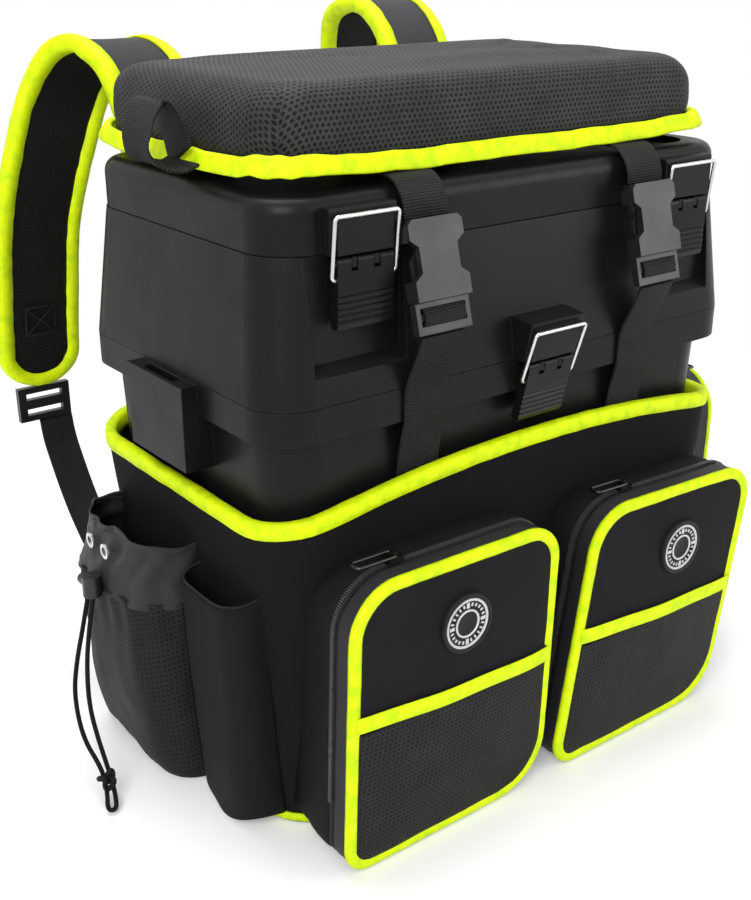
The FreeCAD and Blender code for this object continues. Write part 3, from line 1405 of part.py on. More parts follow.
def make_cord_lock():
    """A drum with a push button across it, and two eyelets in the nylon band."""
    foot = CORD_LOCK_AT - Vector(0, 0, LOCK_HEIGHT / 2)
    drum = Part.makeCylinder(LOCK_RADIUS, LOCK_HEIGHT, foot, Vector(0, 0, 1))
    button = Part.makeCylinder(4, 8, CORD_LOCK_AT + Vector(0, 5, 0), Vector(0, 1, 0))
    lock = drum.fuse(button)
    soft_piece("cord_lock", solid_of(lock))


def make_eyelets():
    z = (d.mesh_high + d.band_high) / 2
    face = bag_side_at(z) + d.mesh_pocket_reach * (1 + BAND_DRAW) / 2 + d.soft_gap
    rings = []
    for y in (26.0, 46.0):
        centre = Vector(-face, y, z)
        ring = Part.makeCylinder(d.eyelet_radius, 1.2, centre, Vector(-1, 0, 0)).cut(
            Part.makeCylinder(d.eyelet_radius - 2.2, 3, centre + Vector(1, 0, 0), Vector(-1, 0, 0))
        )
        rings.append(ring)
    soft_piece("eyelets", Part.makeCompound(rings))


# Seat cushion


CROWN_STEPS = 9


def cushion_wire(inset, z):
    """A level outline of the cushion, drawn in all round."""
    width = d.cushion_width - 2 * inset
    depth = d.cushion_depth - 2 * inset
    return rounded_wire(width, depth, d.cushion_corner, z, y=d.cushion_shift)


def make_cushion():
    """Foam with drawn-in sides and a crowned top, its pad in the lid's recess, and the binding."""
    flange_high = d.cushion_low + d.flange_height
    rise = d.cushion_high - flange_high
    widest = flange_high + rise * d.cushion_widest
    sections = [
        cushion_wire(d.cushion_tuck, flange_high),
        cushion_wire(d.cushion_tuck * 0.3, (flange_high + widest) / 2),
    ]
    for k in range(CROWN_STEPS + 1):
        turn = k / CROWN_STEPS * math.pi / 2
        inset = d.cushion_shoulder * (1 - math.cos(turn)) ** 1.4
        sections.append(cushion_wire(inset, widest + (d.cushion_high - widest) * math.sin(turn)))
    crown = Part.makeLoft(sections, True, True)
    flange = Part.makeLoft(
        [cushion_wire(d.cushion_tuck, d.cushion_low), cushion_wire(d.cushion_tuck, flange_high)], True, True
    )
    recess_width = d.box_width - 2 * d.case_inset - 1 - 2 * d.lid_recess_margin
    recess_depth = d.box_depth - 2 * d.case_inset - 1 - 2 * d.lid_recess_margin
    pad_low = d.lid_high - d.lid_recess_depth + d.soft_gap
    foot = Part.makeLoft(
        [
            rounded_wire(recess_width - 5, recess_depth - 5, d.rim_corner - 10, pad_low),
            rounded_wire(recess_width - 5, recess_depth - 5, d.rim_corner - 10, d.cushion_low),
        ],
        True, True,
    )
    cushion = solid_of(crown.fuse([flange, foot]))
    soft_piece("seat_cushion", cushion)
    tape = Part.makeLoft(
        [cushion_wire(-d.flange_reach, z) for z in (d.cushion_low, flange_high)], True, True
    )
    soft_piece("cushion_binding", solid_of(tape.cut(cushion)))


def make_grab_loops():
    """A webbing loop standing off each side of the cushion."""
    edge = d.cushion_width / 2 + d.flange_reach + d.webbing_thickness + 0.6
    foot = d.cushion_low + 3
    shape = [(0, 0), (9, -1), (20, 3), (28, 12), (28, 22), (20, 29), (10, 27), (4, 17), (0.6, 8)]
    loops = []
    for side in (-1, 1):
        points = [
            (side * (edge + u * d.loop_reach / 30), foot + v * d.loop_reach / 30) for u, v in shape
        ]
        loops.append(smooth_ring(points, d.webbing_thickness, d.loop_width, -14.0))
    soft_piece("cushion_loops", Part.makeCompound(loops))


# Harness


# Free run of each shoulder strap: share of its flare, y, z. The left one hangs lower.
STRAP_RUNS = {
    "left": [
        (0.02, 128.5, 378.0), (0.05, 134.0, 410.0), (0.10, 150.0, 438.0), (0.18, 178.0, 448.0),
        (0.36, 197.0, 438.0), (0.56, 205.0, 413.0), (0.80, 203.0, 376.0), (0.98, 206.0, 330.0),
        (1.0, 217.0, 277.0), (1.0, 225.0, 236.0), (1.0, 226.5, 206.0),
    ],
    "right": [
        (0.02, 128.5, 378.0), (0.05, 139.0, 415.0), (0.09, 155.0, 446.0), (0.14, 182.0, 465.0),
        (0.19, 212.0, 468.0), (0.26, 240.0, 456.0), (0.40, 256.0, 420.0), (0.62, 260.0, 370.0),
        (0.86, 254.0, 300.0), (1.0, 246.0, 236.0), (1.0, 244.5, 206.0),
    ],
}


def shoulder_centres(side, name):
    """The centre line of a shoulder strap from the back panel over its crest to its foot."""
    root_x = d.shoulder_spacing / 2
    stand_off = d.panel_thickness + 3 * d.soft_gap + d.shoulder_thickness / 2
    root = [(0.0, case_back_at(z) + stand_off, z) for z in (d.panel_high - 28, d.panel_high - 6)]
    run = root + STRAP_RUNS[name]
    return [Vector(side * (root_x + d.shoulder_flare * share), y, z) for share, y, z in run]


def make_harness():
    sliders = []
    webbing = []
    for side, name in ((-1, "left"), (1, "right")):
        centres = shoulder_centres(side, name)
        strap = strap_loft(centres, d.shoulder_width, d.shoulder_thickness)
        soft_piece(f"shoulder_strap_{name}", strap)
        foot = centres[-1]
        lock = ladder_lock()
        lock.translate(foot + Vector(0, 0, -14))
        sliders.append(lock)
        anchor = Vector(side * 172, bag_back_at(62) + d.webbing_thickness / 2 + d.soft_gap, 62)
        lower = [
            (foot.y, foot.z - 27 - 2 * d.soft_gap),
            (foot.y - 8, foot.z - 50),
            (foot.y - 40, foot.z - 92),
            (foot.y - 84, foot.z - 126),
            (anchor.y + 8, anchor.z + 8),
            (anchor.y, anchor.z - 22),
        ]
        webbing.append(smooth_band(lower, d.webbing_thickness, d.lower_webbing_width, side * 170))
    soft_piece("strap_sliders", Part.makeCompound(sliders))
    soft_piece("strap_webbing", Part.makeCompound(webbing))

    rear_y = case_back_at(d.panel_high) + d.panel_thickness / 2
    rear = [
        (rear_y, d.panel_high + d.soft_gap),
        (rear_y - 1, (d.panel_high + d.cushion_low) / 2),
        (rear_y - 2, d.cushion_low - d.soft_gap),
    ]
    straps = [
        smooth_band(rear, d.webbing_thickness, d.webbing_width, side * d.strap_spacing / 2)
        for side in (-1, 1)
    ]
    soft_piece("rear_straps", Part.makeCompound(straps))


def ladder_lock():
    """A ladder lock frame with two webbing slots, about its own middle."""
    half = d.ladder_width / 2
    frame = Part.makeBox(d.ladder_width, 5, 26, Vector(-half, -2.5, -13))
    for low in (-8.5, 3.5):
        slot_width = d.lower_webbing_width + 2
        slot = Part.makeBox(slot_width, 9, 5, Vector(-slot_width / 2, -4.5, low))
        frame = frame.cut(slot)
    return frame


def build():
    make_tub()
    make_upper_case()
    make_lid()
    make_pins()
    for name, (x, out, z, leaning) in LATCHES.items():
        make_latch_lever(name, x, out, z, leaning)
        make_bail(name, x, out, z, leaning)
    make_buckles()
    make_front_straps()
    bag_outer, tape_space = make_bag()
    make_back_panel()
    blocks = make_pockets(bag_outer, tape_space) + make_side_pockets(bag_outer)
    make_base_binding(bag_outer, blocks)
    make_draw_cord()
    make_cord_lock()
    make_eyelets()
    make_cushion()
    make_grab_loops()
    make_harness()


def check_and_write():
    """Recompute, refuse any failed or invalid object, then write one file per sub-part."""
    doc.recompute()
    for thing in doc.Objects:
        if "Invalid" in thing.State or "Error" in thing.State:
            raise RuntimeError(f"{thing.Label} failed: {thing.State}")
        if thing.TypeId in ("PartDesign::Pocket", "PartDesign::SubtractiveLoft"):
            if thing.Shape.Volume > thing.BaseFeature.Shape.Volume - 0.1:
                raise RuntimeError(f"{thing.Label} cuts nothing")
    for node, thing in NODES.items():
        if thing.Shape.isNull() or not thing.Shape.isValid():
            raise RuntimeError(f"{node} has no valid shape")
        if not thing.Shape.Solids:
            raise RuntimeError(f"{node} has no solid")
    os.makedirs("parts", exist_ok=True)
    for node, thing in NODES.items():
        thing.Shape.exportStep(f"parts/{node}.step")
    print(len(NODES), "sub-parts")


build()
check_and_write()
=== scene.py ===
"""The look of a fishing seat box in its rucksack bag, built over the CAD frame."""

import math

import bmesh
import bpy
import numpy as np
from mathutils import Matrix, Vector, noise


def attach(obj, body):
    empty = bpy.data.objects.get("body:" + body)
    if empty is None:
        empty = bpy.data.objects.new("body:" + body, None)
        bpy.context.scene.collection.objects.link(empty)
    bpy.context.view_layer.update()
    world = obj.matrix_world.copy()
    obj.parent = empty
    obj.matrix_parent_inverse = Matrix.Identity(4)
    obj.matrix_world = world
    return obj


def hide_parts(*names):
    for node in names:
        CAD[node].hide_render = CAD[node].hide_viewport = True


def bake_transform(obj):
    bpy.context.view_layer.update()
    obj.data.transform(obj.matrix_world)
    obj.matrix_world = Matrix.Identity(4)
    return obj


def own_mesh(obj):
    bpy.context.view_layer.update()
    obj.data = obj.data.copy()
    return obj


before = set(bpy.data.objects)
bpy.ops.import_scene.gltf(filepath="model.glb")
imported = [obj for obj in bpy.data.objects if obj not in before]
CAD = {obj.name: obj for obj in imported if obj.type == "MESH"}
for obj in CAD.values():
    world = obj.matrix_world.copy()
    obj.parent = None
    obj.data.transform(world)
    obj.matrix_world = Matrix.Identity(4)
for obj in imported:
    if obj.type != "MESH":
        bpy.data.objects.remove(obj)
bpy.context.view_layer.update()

MM = 0.001
BAG = "bag_and_tub"


# Points and lines, all in millimetres


def unit(vectors):
    return vectors / np.maximum(np.linalg.norm(vectors, axis=-1, keepdims=True), 1e-9)


def resample(points, count):
    """Points at equal steps along an open line."""
    points = np.asarray(points, float)
    run = np.r_[0, np.cumsum(np.linalg.norm(np.diff(points, axis=0), axis=1))]
    at = np.linspace(0, run[-1], count)
    return np.stack([np.interp(at, run, points[:, k]) for k in range(points.shape[1])], 1)


def smooth_line(points, count):
    """A smooth line through the points."""
    p = np.asarray(points, float)
    p = np.vstack([2 * p[0] - p[1], p, 2 * p[-1] - p[-2]])
    t = np.linspace(0, 1, 16, endpoint=False)[:, None]
    parts = []
    for a, b, c, e in zip(p, p[1:], p[2:], p[3:]):
        parts.append(
            0.5 * (2 * b + (c - a) * t + (2 * a - 5 * b + 4 * c - e) * t**2
                   + (3 * b - a - 3 * c + e) * t**3)
        )
    parts.append(p[-2:-1])
    return resample(np.vstack(parts), count)


def rounded_loop(corners, radii, arc_n=8, side_n=12):
    """A closed outline with round corners; equal counts keep two insets in step."""
    corners = np.asarray(corners, float)
    count = len(corners)
    arcs = []
    for k, (here, radius) in enumerate(zip(corners, np.broadcast_to(radii, count))):
        back = unit(corners[k - 1] - here)
        ahead = unit(corners[(k + 1) % count] - here)
        half = math.acos(float(np.clip(back @ ahead, -1, 1))) / 2
        centre = here + unit(back + ahead) * radius / math.sin(half)
        cut = radius / math.tan(half)
        first, last = here + back * cut - centre, here + ahead * cut - centre
        turn = math.pi - 2 * half
        t = np.linspace(0, 1, arc_n + 1)[:, None]
        arcs.append(centre + (np.sin((1 - t) * turn) * first + np.sin(t * turn) * last) / math.sin(turn))
    points = []
    for k, arc in enumerate(arcs):
        t = np.linspace(0, 1, side_n + 1)[1:-1, None]
        points += [arc, arc[-1] * (1 - t) + arcs[(k + 1) % count][0] * t]
    return np.vstack(points)


def rectangle(width, depth):
    x, y = width / 2, depth / 2
    return np.array([(-x, -y), (x, -y), (x, y), (-x, y)])


def lifts(points, size, seed=0.0):
    """Smooth noise from -1 to 1 at each point."""
    flat = np.asarray(points, float).reshape(-1, 3) / size
    values = [noise.noise(Vector(p) + Vector((seed, seed * 0.7, 0))) for p in flat]
    return np.array(values).reshape(np.shape(points)[:-1])


# Meshes from rows of points


def patch(name, rows, closed_u=False, closed_v=False, caps=(False, False), smooth=True, plane=None):
    """A quad mesh over rows of points; UVs in metres along it, or in the plane of two axes."""
    rows = np.asarray(rows, float)
    nv, nu = rows.shape[:2]
    across = np.concatenate([rows, rows[:, :1]], 1) if closed_u else rows
    along = np.concatenate([rows, rows[:1]], 0) if closed_v else rows
    u = np.r_[0, np.cumsum(np.linalg.norm(np.diff(across, axis=1), axis=2).mean(0))] * MM
    v = np.r_[0, np.cumsum(np.linalg.norm(np.diff(along, axis=0), axis=2).mean(1))] * MM
    faces = []
    uvs = []
    for i in range(len(v) - 1):
        for j in range(len(u) - 1):
            i2, j2 = (i + 1) % nv, (j + 1) % nu
            faces.append((i * nu + j, i * nu + j2, i2 * nu + j2, i2 * nu + j))
            uvs += [(u[j], v[i]), (u[j + 1], v[i]), (u[j + 1], v[i + 1]), (u[j], v[i + 1])]
    for row, wanted in zip((0, nv - 1), caps):
        if wanted:
            ring = [row * nu + j for j in range(nu)]
            faces.append(tuple(ring[::-1] if row == 0 else ring))
            flat = rows[row][::-1] if row == 0 else rows[row]
            spread = flat.max(0) - flat.min(0)
            a, b = sorted(np.argsort(spread)[1:])
            uvs += [(p[a] * MM, p[b] * MM) for p in flat]
    points = rows.reshape(-1, 3)
    if plane:
        uvs = [points[k][list(plane)] * MM for face in faces for k in face]
    return new_mesh(name, points, faces, uvs, smooth)


def linked(name, data):
    """A new object in the scene."""
    made = bpy.data.objects.new(name, data)
    bpy.context.scene.collection.objects.link(made)
    return made


def closed_band(name, rows, plane=None):
    """A ring whose section is closed too, such as a binding tape."""
    return patch(name, rows, closed_u=True, closed_v=True, plane=plane)


def new_mesh(name, points, faces, uvs=None, smooth=True):
    mesh = bpy.data.meshes.new(name)
    mesh.from_pydata((np.asarray(points, float) * MM).tolist(), [], faces)
    if uvs is not None:
        layer = mesh.uv_layers.new(name="UVMap")
        layer.data.foreach_set("uv", np.asarray(uvs, np.float32).ravel())
    mesh.polygons.foreach_set("use_smooth", [smooth] * len(mesh.polygons))
    work = bmesh.new()
    work.from_mesh(mesh)
    bmesh.ops.recalc_face_normals(work, faces=work.faces)
    work.to_mesh(mesh)
    work.free()
    return linked(name, mesh)


def surface_normals(rows, closed_u=False):
    rows = np.asarray(rows, float)
    if closed_u:
        gu = np.roll(rows, -1, 1) - np.roll(rows, 1, 1)
    else:
        gu = np.gradient(rows, axis=1)
    return unit(np.cross(gu, np.gradient(rows, axis=0)))


def shell(name, rows, thickness, closed_u=False, plane=None):
    """A sheet with thickness on the side away from its rows' normals."""
    rows = np.asarray(rows, float)
    inner = rows - surface_normals(rows, closed_u) * thickness
    ring = np.concatenate([rows, inner[::-1]], 0)
    if closed_u:
        return closed_band(name, ring, plane)
    return patch(name, ring.transpose(1, 0, 2), closed_u=True, caps=(True, True), plane=plane)


def frames(path, across):
    """Tangent, width and thickness directions along a path."""
    tangent = unit(np.gradient(path, axis=0))
    across = np.broadcast_to(np.asarray(across, float), path.shape)
    across = unit(across - tangent * (across * tangent).sum(1, keepdims=True))
    return tangent, across, np.cross(tangent, across)


def strap_section(width, thick):
    """A flat strap's rounded section as (across, up) points."""
    return rounded_loop(rectangle(width, thick), thick * 0.48, 4, 2)


def sweep(name, path, across, section):
    """A section, or one section for each point, carried along a path."""
    path = np.asarray(path, float)
    _, side, up = frames(path, across)
    section = np.broadcast_to(section, (len(path),) + np.shape(section)[-2:])
    rows = path[:, None] + section[..., :1] * side[:, None] + section[..., 1:] * up[:, None]
    return patch(name, rows, closed_u=True, caps=(True, True))


def joined(name, pieces):
    """One object from several."""
    first = pieces[0]
    with bpy.context.temp_override(
        active_object=first, selected_objects=pieces, selected_editable_objects=pieces
    ):
        bpy.ops.object.join()
    first.name = name
    return first


def inflate(piece, held, pressure, cap_mm):
    """Air pressure swells a closed pad; held points stay and none moves further than the cap."""
    mesh = piece.data
    rest = np.empty(3 * len(mesh.vertices))
    mesh.vertices.foreach_get("co", rest)
    group = piece.vertex_groups.new(name="held")
    group.add([int(k) for k in held], 1.0, "REPLACE")
    cloth = piece.modifiers.new("cloth", "CLOTH")
    cloth.settings.use_pressure = True
    cloth.settings.uniform_pressure_force = pressure
    cloth.settings.effector_weights.gravity = 0
    cloth.settings.vertex_group_mass = "held"
    cloth.settings.quality = 6
    scene = bpy.context.scene
    for number in range(1, 17):
        scene.frame_set(number)
    posed = piece.evaluated_get(bpy.context.evaluated_depsgraph_get())
    swollen = np.empty_like(rest)
    posed.data.vertices.foreach_get("co", swollen)
    scene.frame_set(1)
    piece.modifiers.remove(cloth)
    piece.vertex_groups.remove(group)
    move = (swollen - rest).reshape(-1, 3)
    length = np.linalg.norm(move, axis=1, keepdims=True)
    cap = cap_mm * MM
    move *= cap * np.tanh(length / cap) / np.maximum(length, 1e-9)
    mesh.vertices.foreach_set("co", rest + move.ravel())
    mesh.update()


def dress(piece, look, body=None, replaces=()):
    """Material, body and the CAD nodes it stands for."""
    piece.data.materials.clear()
    piece.data.materials.append(look)
    if body:
        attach(piece, body)
    if replaces:
        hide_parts(*replaces)


# Materials


def dim(colour, share):
    """A colour at a share of its brightness; over 1 is brighter."""
    return tuple(share * c for c in colour)


class Look:
    """A material under construction, with short calls for its nodes."""

    def __init__(self, name, colour, roughness, **inputs):
        self.material = bpy.data.materials.new(name)
        self.material.use_nodes = True
        self.tree = self.material.node_tree
        self.shader = self.tree.nodes["Principled BSDF"]
        self.shader.inputs["Base Color"].default_value = (*colour, 1)
        self.shader.inputs["Roughness"].default_value = roughness
        for key, value in inputs.items():
            self.shader.inputs[key.replace("_", " ")].default_value = value

    def node(self, kind, **settings):
        made = self.tree.nodes.new("ShaderNode" + kind)
        for key, value in settings.items():
            setattr(made, key, value)
        return made

    def feed(self, value, socket):
        if isinstance(value, (int, float)):
            socket.default_value = value
        elif isinstance(value, tuple):
            socket.default_value = (*value, 1) if len(socket.default_value) == 4 else value
        else:
            self.tree.links.new(value, socket)

    def maths(self, operation, *values):
        made = self.node("Math", operation=operation)
        for value, socket in zip(values, made.inputs):
            self.feed(value, socket)
        return made.outputs[0]

    def place(self, source="UV"):
        return self.node("TexCoord").outputs[source]

    def split(self):
        made = self.node("SeparateXYZ")
        self.feed(self.place(), made.inputs[0])
        return made.outputs

    def noise(self, size_mm, detail):
        made = self.node("TexNoise")
        made.inputs["Scale"].default_value = 1000 / size_mm
        made.inputs["Detail"].default_value = detail
        self.feed(self.place("Object"), made.inputs["Vector"])
        return made.outputs["Fac"]

    def spread(self, value, low, high, to_low=0.0, to_high=1.0):
        made = self.node("MapRange")
        for wanted, socket in zip((value, low, high, to_low, to_high), made.inputs):
            self.feed(wanted, socket)
        return made.outputs[0]

    def clouds(self, size_mm, detail=3, low=0.3, high=0.7, to_low=0.0, to_high=1.0):
        """Soft patches from noise, as shares between two values."""
        return self.spread(self.noise(size_mm, detail), low, high, to_low, to_high)

    def blend(self, share, first, second):
        made = self.node("Mix", data_type="RGBA")
        self.feed(share, made.inputs[0])
        self.feed(first, made.inputs[6])
        self.feed(second, made.inputs[7])
        return made.outputs[2]

    def colour(self, value):
        self.feed(value, self.shader.inputs["Base Color"])

    def rough(self, value):
        self.feed(value, self.shader.inputs["Roughness"])

    def bump(self, height, depth_mm, strength=1.0, under=None):
        made = self.node("Bump")
        made.inputs["Strength"].default_value = strength
        made.inputs["Distance"].default_value = depth_mm * MM
        self.feed(height, made.inputs["Height"])
        if under is not None:
            self.feed(under, made.inputs["Normal"])
        self.feed(made.outputs[0], self.shader.inputs["Normal"])
        return made.outputs[0]

    def weave(self, a, b, pitch_mm):
        """Over and under threads along two coordinates."""
        turn = 2 * math.pi / (pitch_mm * MM)
        first = self.maths("SINE", self.maths("MULTIPLY", a, turn))
        second = self.maths("SINE", self.maths("MULTIPLY", b, turn))
        return self.maths("MULTIPLY_ADD", self.maths("MULTIPLY", first, second), 0.5, 0.5)

    def holes(self, a, b, pitch_mm, edge, soft):
        """Round holes in a honeycomb layout: 1 in a hole, 0 on the threads."""
        turn = 4 * math.pi / (math.sqrt(3) * pitch_mm * MM)
        total = None
        for x, y in ((0, 1), (math.sqrt(3) / 2, -0.5), (-math.sqrt(3) / 2, -0.5)):
            part = self.maths("MULTIPLY_ADD", a, x * turn, self.maths("MULTIPLY", b, y * turn))
            wave = self.maths("COSINE", part)
            total = wave if total is None else self.maths("ADD", total, wave)
        return self.spread(total, edge, edge + soft)


def plastic(name, colour, roughness, grain=0.05, edge=0.6, specular=0.16):
    """Moulded plastic: fine grain, faint flow marks and slightly rounded, worn edges."""
    look = Look(name, colour, roughness, Specular_IOR_Level=specular)
    look.colour(look.blend(look.clouds(60), dim(colour, 0.8), colour))
    look.rough(look.clouds(25, 4, to_low=roughness - 0.05, to_high=roughness + 0.07))
    rounded = look.node("Bevel", samples=4)
    rounded.inputs["Radius"].default_value = edge * MM
    look.bump(look.noise(0.9, 2), grain, 0.35, rounded.outputs[0])
    return look.material


def cloth(name, colour, roughness, pitch=0.9, wrinkle=1.2, specular=0.1, twill=False, sheen=0.0):
    """Plain weave or twill with threads, slight colour variation and soft creases."""
    look = Look(name, colour, roughness, Specular_IOR_Level=specular,
                Sheen_Weight=sheen, Sheen_Roughness=0.4)
    u, v, _ = look.split()
    threads = look.weave(u, v, pitch)
    if twill:
        turn = 2 * math.pi / (pitch * MM)
        lean = look.maths("SINE", look.maths("MULTIPLY", look.maths("ADD", u, v), turn))
        threads = look.maths("MULTIPLY_ADD", lean, 0.5, 0.5)
    tone = look.blend(look.clouds(35, 4, 0.25, 0.75), dim(colour, 0.55), colour)
    look.colour(look.blend(look.spread(threads, 0, 1, 0, 0.75), tone, dim(colour, 2.2)))
    creases = look.bump(look.noise(28, 3), wrinkle, 0.5)
    look.bump(threads, 0.25, 0.8, creases)
    return look.material


def tape(name, colour):
    """Neon binding tape: fine ribs across, slight puckers along."""
    look = Look(name, colour, 0.6, Specular_IOR_Level=0.25)
    u, v, _ = look.split()
    threads = look.weave(u, v, 0.8)
    deep = tuple(share * c for share, c in zip((0.72, 0.84, 1.0), colour))
    tone = look.blend(look.clouds(9, 3, 0.32, 0.55), deep, colour)
    look.colour(look.blend(look.spread(threads, 0, 1, 0, 0.25), tone, dim(colour, 0.8)))
    puckers = look.bump(look.noise(7, 2), 0.8, 0.45)
    look.bump(threads, 0.12, 0.6, puckers)
    return look.material


def webbing(name, colour, rib=1.6):
    """Woven webbing: zigzag ribs across it and fine threads."""
    look = Look(name, colour, 0.62, Specular_IOR_Level=0.2)
    u, v, _ = look.split()
    zigzag = look.maths("PINGPONG", look.maths("MULTIPLY", u, 1000.0), 2.2)
    across = look.maths("MULTIPLY_ADD", zigzag, 0.0003, v)
    wave = look.maths("SINE", look.maths("MULTIPLY", across, math.pi / (rib * MM)))
    ribs = look.maths("ABSOLUTE", wave)
    lines = look.weave(u, v, 0.75)
    tone = look.blend(look.clouds(14), dim(colour, 0.6), colour)
    look.colour(look.blend(look.spread(ribs, 0.1, 0.8), dim(colour, 0.22), tone))
    low = look.bump(ribs, 0.5, 1.0)
    look.bump(lines, 0.15, 0.6, low)
    return look.material


def net(name, colour, pitch, depth=0.9, edge=0.2, soft=1.4, shear=0.0):
    """A knitted mesh with round holes, which are painted near-black as the shade seen through them."""
    look = Look(name, colour, 0.6, Specular_IOR_Level=0.2)
    u, v, _ = look.split()
    if shear:
        u = look.maths("MULTIPLY_ADD", v, shear, u)
    inside = look.holes(u, v, pitch, edge, soft)
    tone = look.blend(look.clouds(20), dim(colour, 0.6), colour)
    # Painted shade: the holes take a near-black colour for the shade seen through the mesh.
    look.colour(look.blend(inside, tone, HOLE_SHADE))
    threads = look.weave(u, v, 0.7)
    fine = look.bump(threads, 0.1, 0.4)
    look.bump(look.maths("SUBTRACT", 1.0, inside), depth, 1.0, fine)
    return look.material


LIME = (0.80, 1.0, 0.0)
# Painted shade inside the nets' holes, near-black.
HOLE_SHADE = (0.0012, 0.0012, 0.0013)
BOX_PLASTIC = plastic("box_plastic", (0.0072, 0.0072, 0.0078), 0.36, edge=0.9)
LATCH_PLASTIC = plastic("latch_plastic", (0.0062, 0.0062, 0.0066), 0.28, edge=0.4)
BUCKLE_PLASTIC = plastic("buckle_plastic", (0.014, 0.0138, 0.0150), 0.32, edge=0.5, specular=0.45)
BAG_CLOTH = cloth("bag_cloth", (0.0058, 0.0058, 0.0068), 0.8)
FACE_CLOTH = cloth("pocket_face_cloth", (0.0086, 0.0084, 0.0102), 0.72, pitch=0.8, wrinkle=1.6)
RIB_CLOTH = cloth("pocket_ribbed_cloth", (0.0115, 0.0112, 0.0135), 0.5, pitch=1.5, wrinkle=1.2,
                  specular=0.3, twill=True)
SMOOTH_CLOTH = cloth("smooth_cloth", (0.0066, 0.0066, 0.0075), 0.62, pitch=0.7, wrinkle=1.6)
STRAP_CLOTH = cloth("strap_cloth", (0.020, 0.0195, 0.0225), 0.6, pitch=0.6, wrinkle=0.8, specular=0.3)
NYLON = cloth("thin_nylon", (0.0185, 0.018, 0.021), 0.42, pitch=0.5, wrinkle=2.2, specular=0.3)
LIME_TAPE = tape("lime_tape", LIME)
PANEL_NET = net("panel_net", (0.019, 0.019, 0.0195), 3.3, depth=1.2, edge=0.25, soft=1.3, shear=0.4)
POCKET_NET = net("pocket_net", (0.0125, 0.0125, 0.013), 3.6, depth=1.1, edge=0.3, soft=1.3, shear=0.3)
SPACER_NET = net("spacer_net", (0.040, 0.0395, 0.0425), 3.6, depth=1.2, soft=1.5)
STRAP_NET = net("strap_net", (0.006, 0.006, 0.0063), 3.2, shear=0.5)
WEBBING = webbing("webbing", (0.017, 0.017, 0.018))
HEM = webbing("dark_binding", (0.030, 0.030, 0.033), rib=1.1)
# The coil's lighter grey is a painted highlight on the zip's teeth.
ZIP_TEETH_HIGHLIT = plastic("zip_coil_painted_highlight", (0.075, 0.075, 0.080), 0.3, edge=0.1, specular=0.5)
CORD_LOOK = cloth("cord_sheath", (0.010, 0.010, 0.0105), 0.6, pitch=1.1, wrinkle=0.3)
THREAD = cloth("stitches", (0.14, 0.14, 0.145), 0.7, pitch=0.5, wrinkle=0.2)


def metal(name, colour, roughness):
    """Bare metal with uneven polish."""
    look = Look(name, colour, roughness, Metallic=1.0)
    look.rough(look.clouds(6, 4, to_low=roughness, to_high=roughness + 0.15))
    look.bump(look.noise(1.2, 2), 0.03, 0.3)
    return look.material


STEEL = metal("steel", (0.66, 0.66, 0.67), 0.2)
DARK_STEEL = metal("dark_steel", (0.055, 0.055, 0.06), 0.25)
RUBBER = plastic("badge_rubber", (0.013, 0.013, 0.0145), 0.45)
PALE_INK = plastic("badge_relief", (0.72, 0.73, 0.74), 0.5, edge=0.15)


# Camera at the photograph's angle


CAMERA_AT = (-512.2, -618.7, 507.5)
CAMERA_YAW, CAMERA_PITCH = 37.59, 22.15
FOCAL_PIXELS, PHOTO_HEIGHT = 1227.4, 900
SENSOR = 36


def make_camera():
    """The camera found from the photograph."""
    data = bpy.data.cameras.new("camera")
    data.sensor_width = SENSOR
    data.lens = FOCAL_PIXELS / PHOTO_HEIGHT * SENSOR
    camera = linked("camera", data)
    camera.location = Vector(CAMERA_AT) * MM
    yaw, pitch = math.radians(CAMERA_YAW), math.radians(CAMERA_PITCH)
    level = math.cos(pitch)
    aim = Vector((math.sin(yaw) * level, math.cos(yaw) * level, -math.sin(pitch)))
    camera.rotation_euler = aim.to_track_quat("-Z", "Y").to_euler()
    bpy.context.scene.camera = camera


# Draw cord of the mesh pocket: the same route as the CAD tube


CORD_ROUTE = [
    (-236.08, 40.6, 127), (-241.68, 40.4, 105.5), (-247.18, 43.6, 80), (-251.68, 43, 56),
    (-255.18, 27, 33), (-253.28, 5, 21), (-255.68, -5.5, 10.5), (-260.28, -13.6, 3.4),
    (-254.68, -15.6, 2.9), (-251.28, -7, 9.6), (-250.28, 1.5, 20), (-251.28, 11, 39),
    (-250.68, 21, 56), (-248.18, 27, 75.5), (-242.68, 33, 99.5), (-235.08, 35.6, 127),
]
CORD_WIDE = 3.0
KNOT_AT = np.array((-252.48, -0.2, 15.6))
KNOT_REACH, KNOT_RISE, KNOT_LEAN = 3.3 * 0.62, 4.4, 35


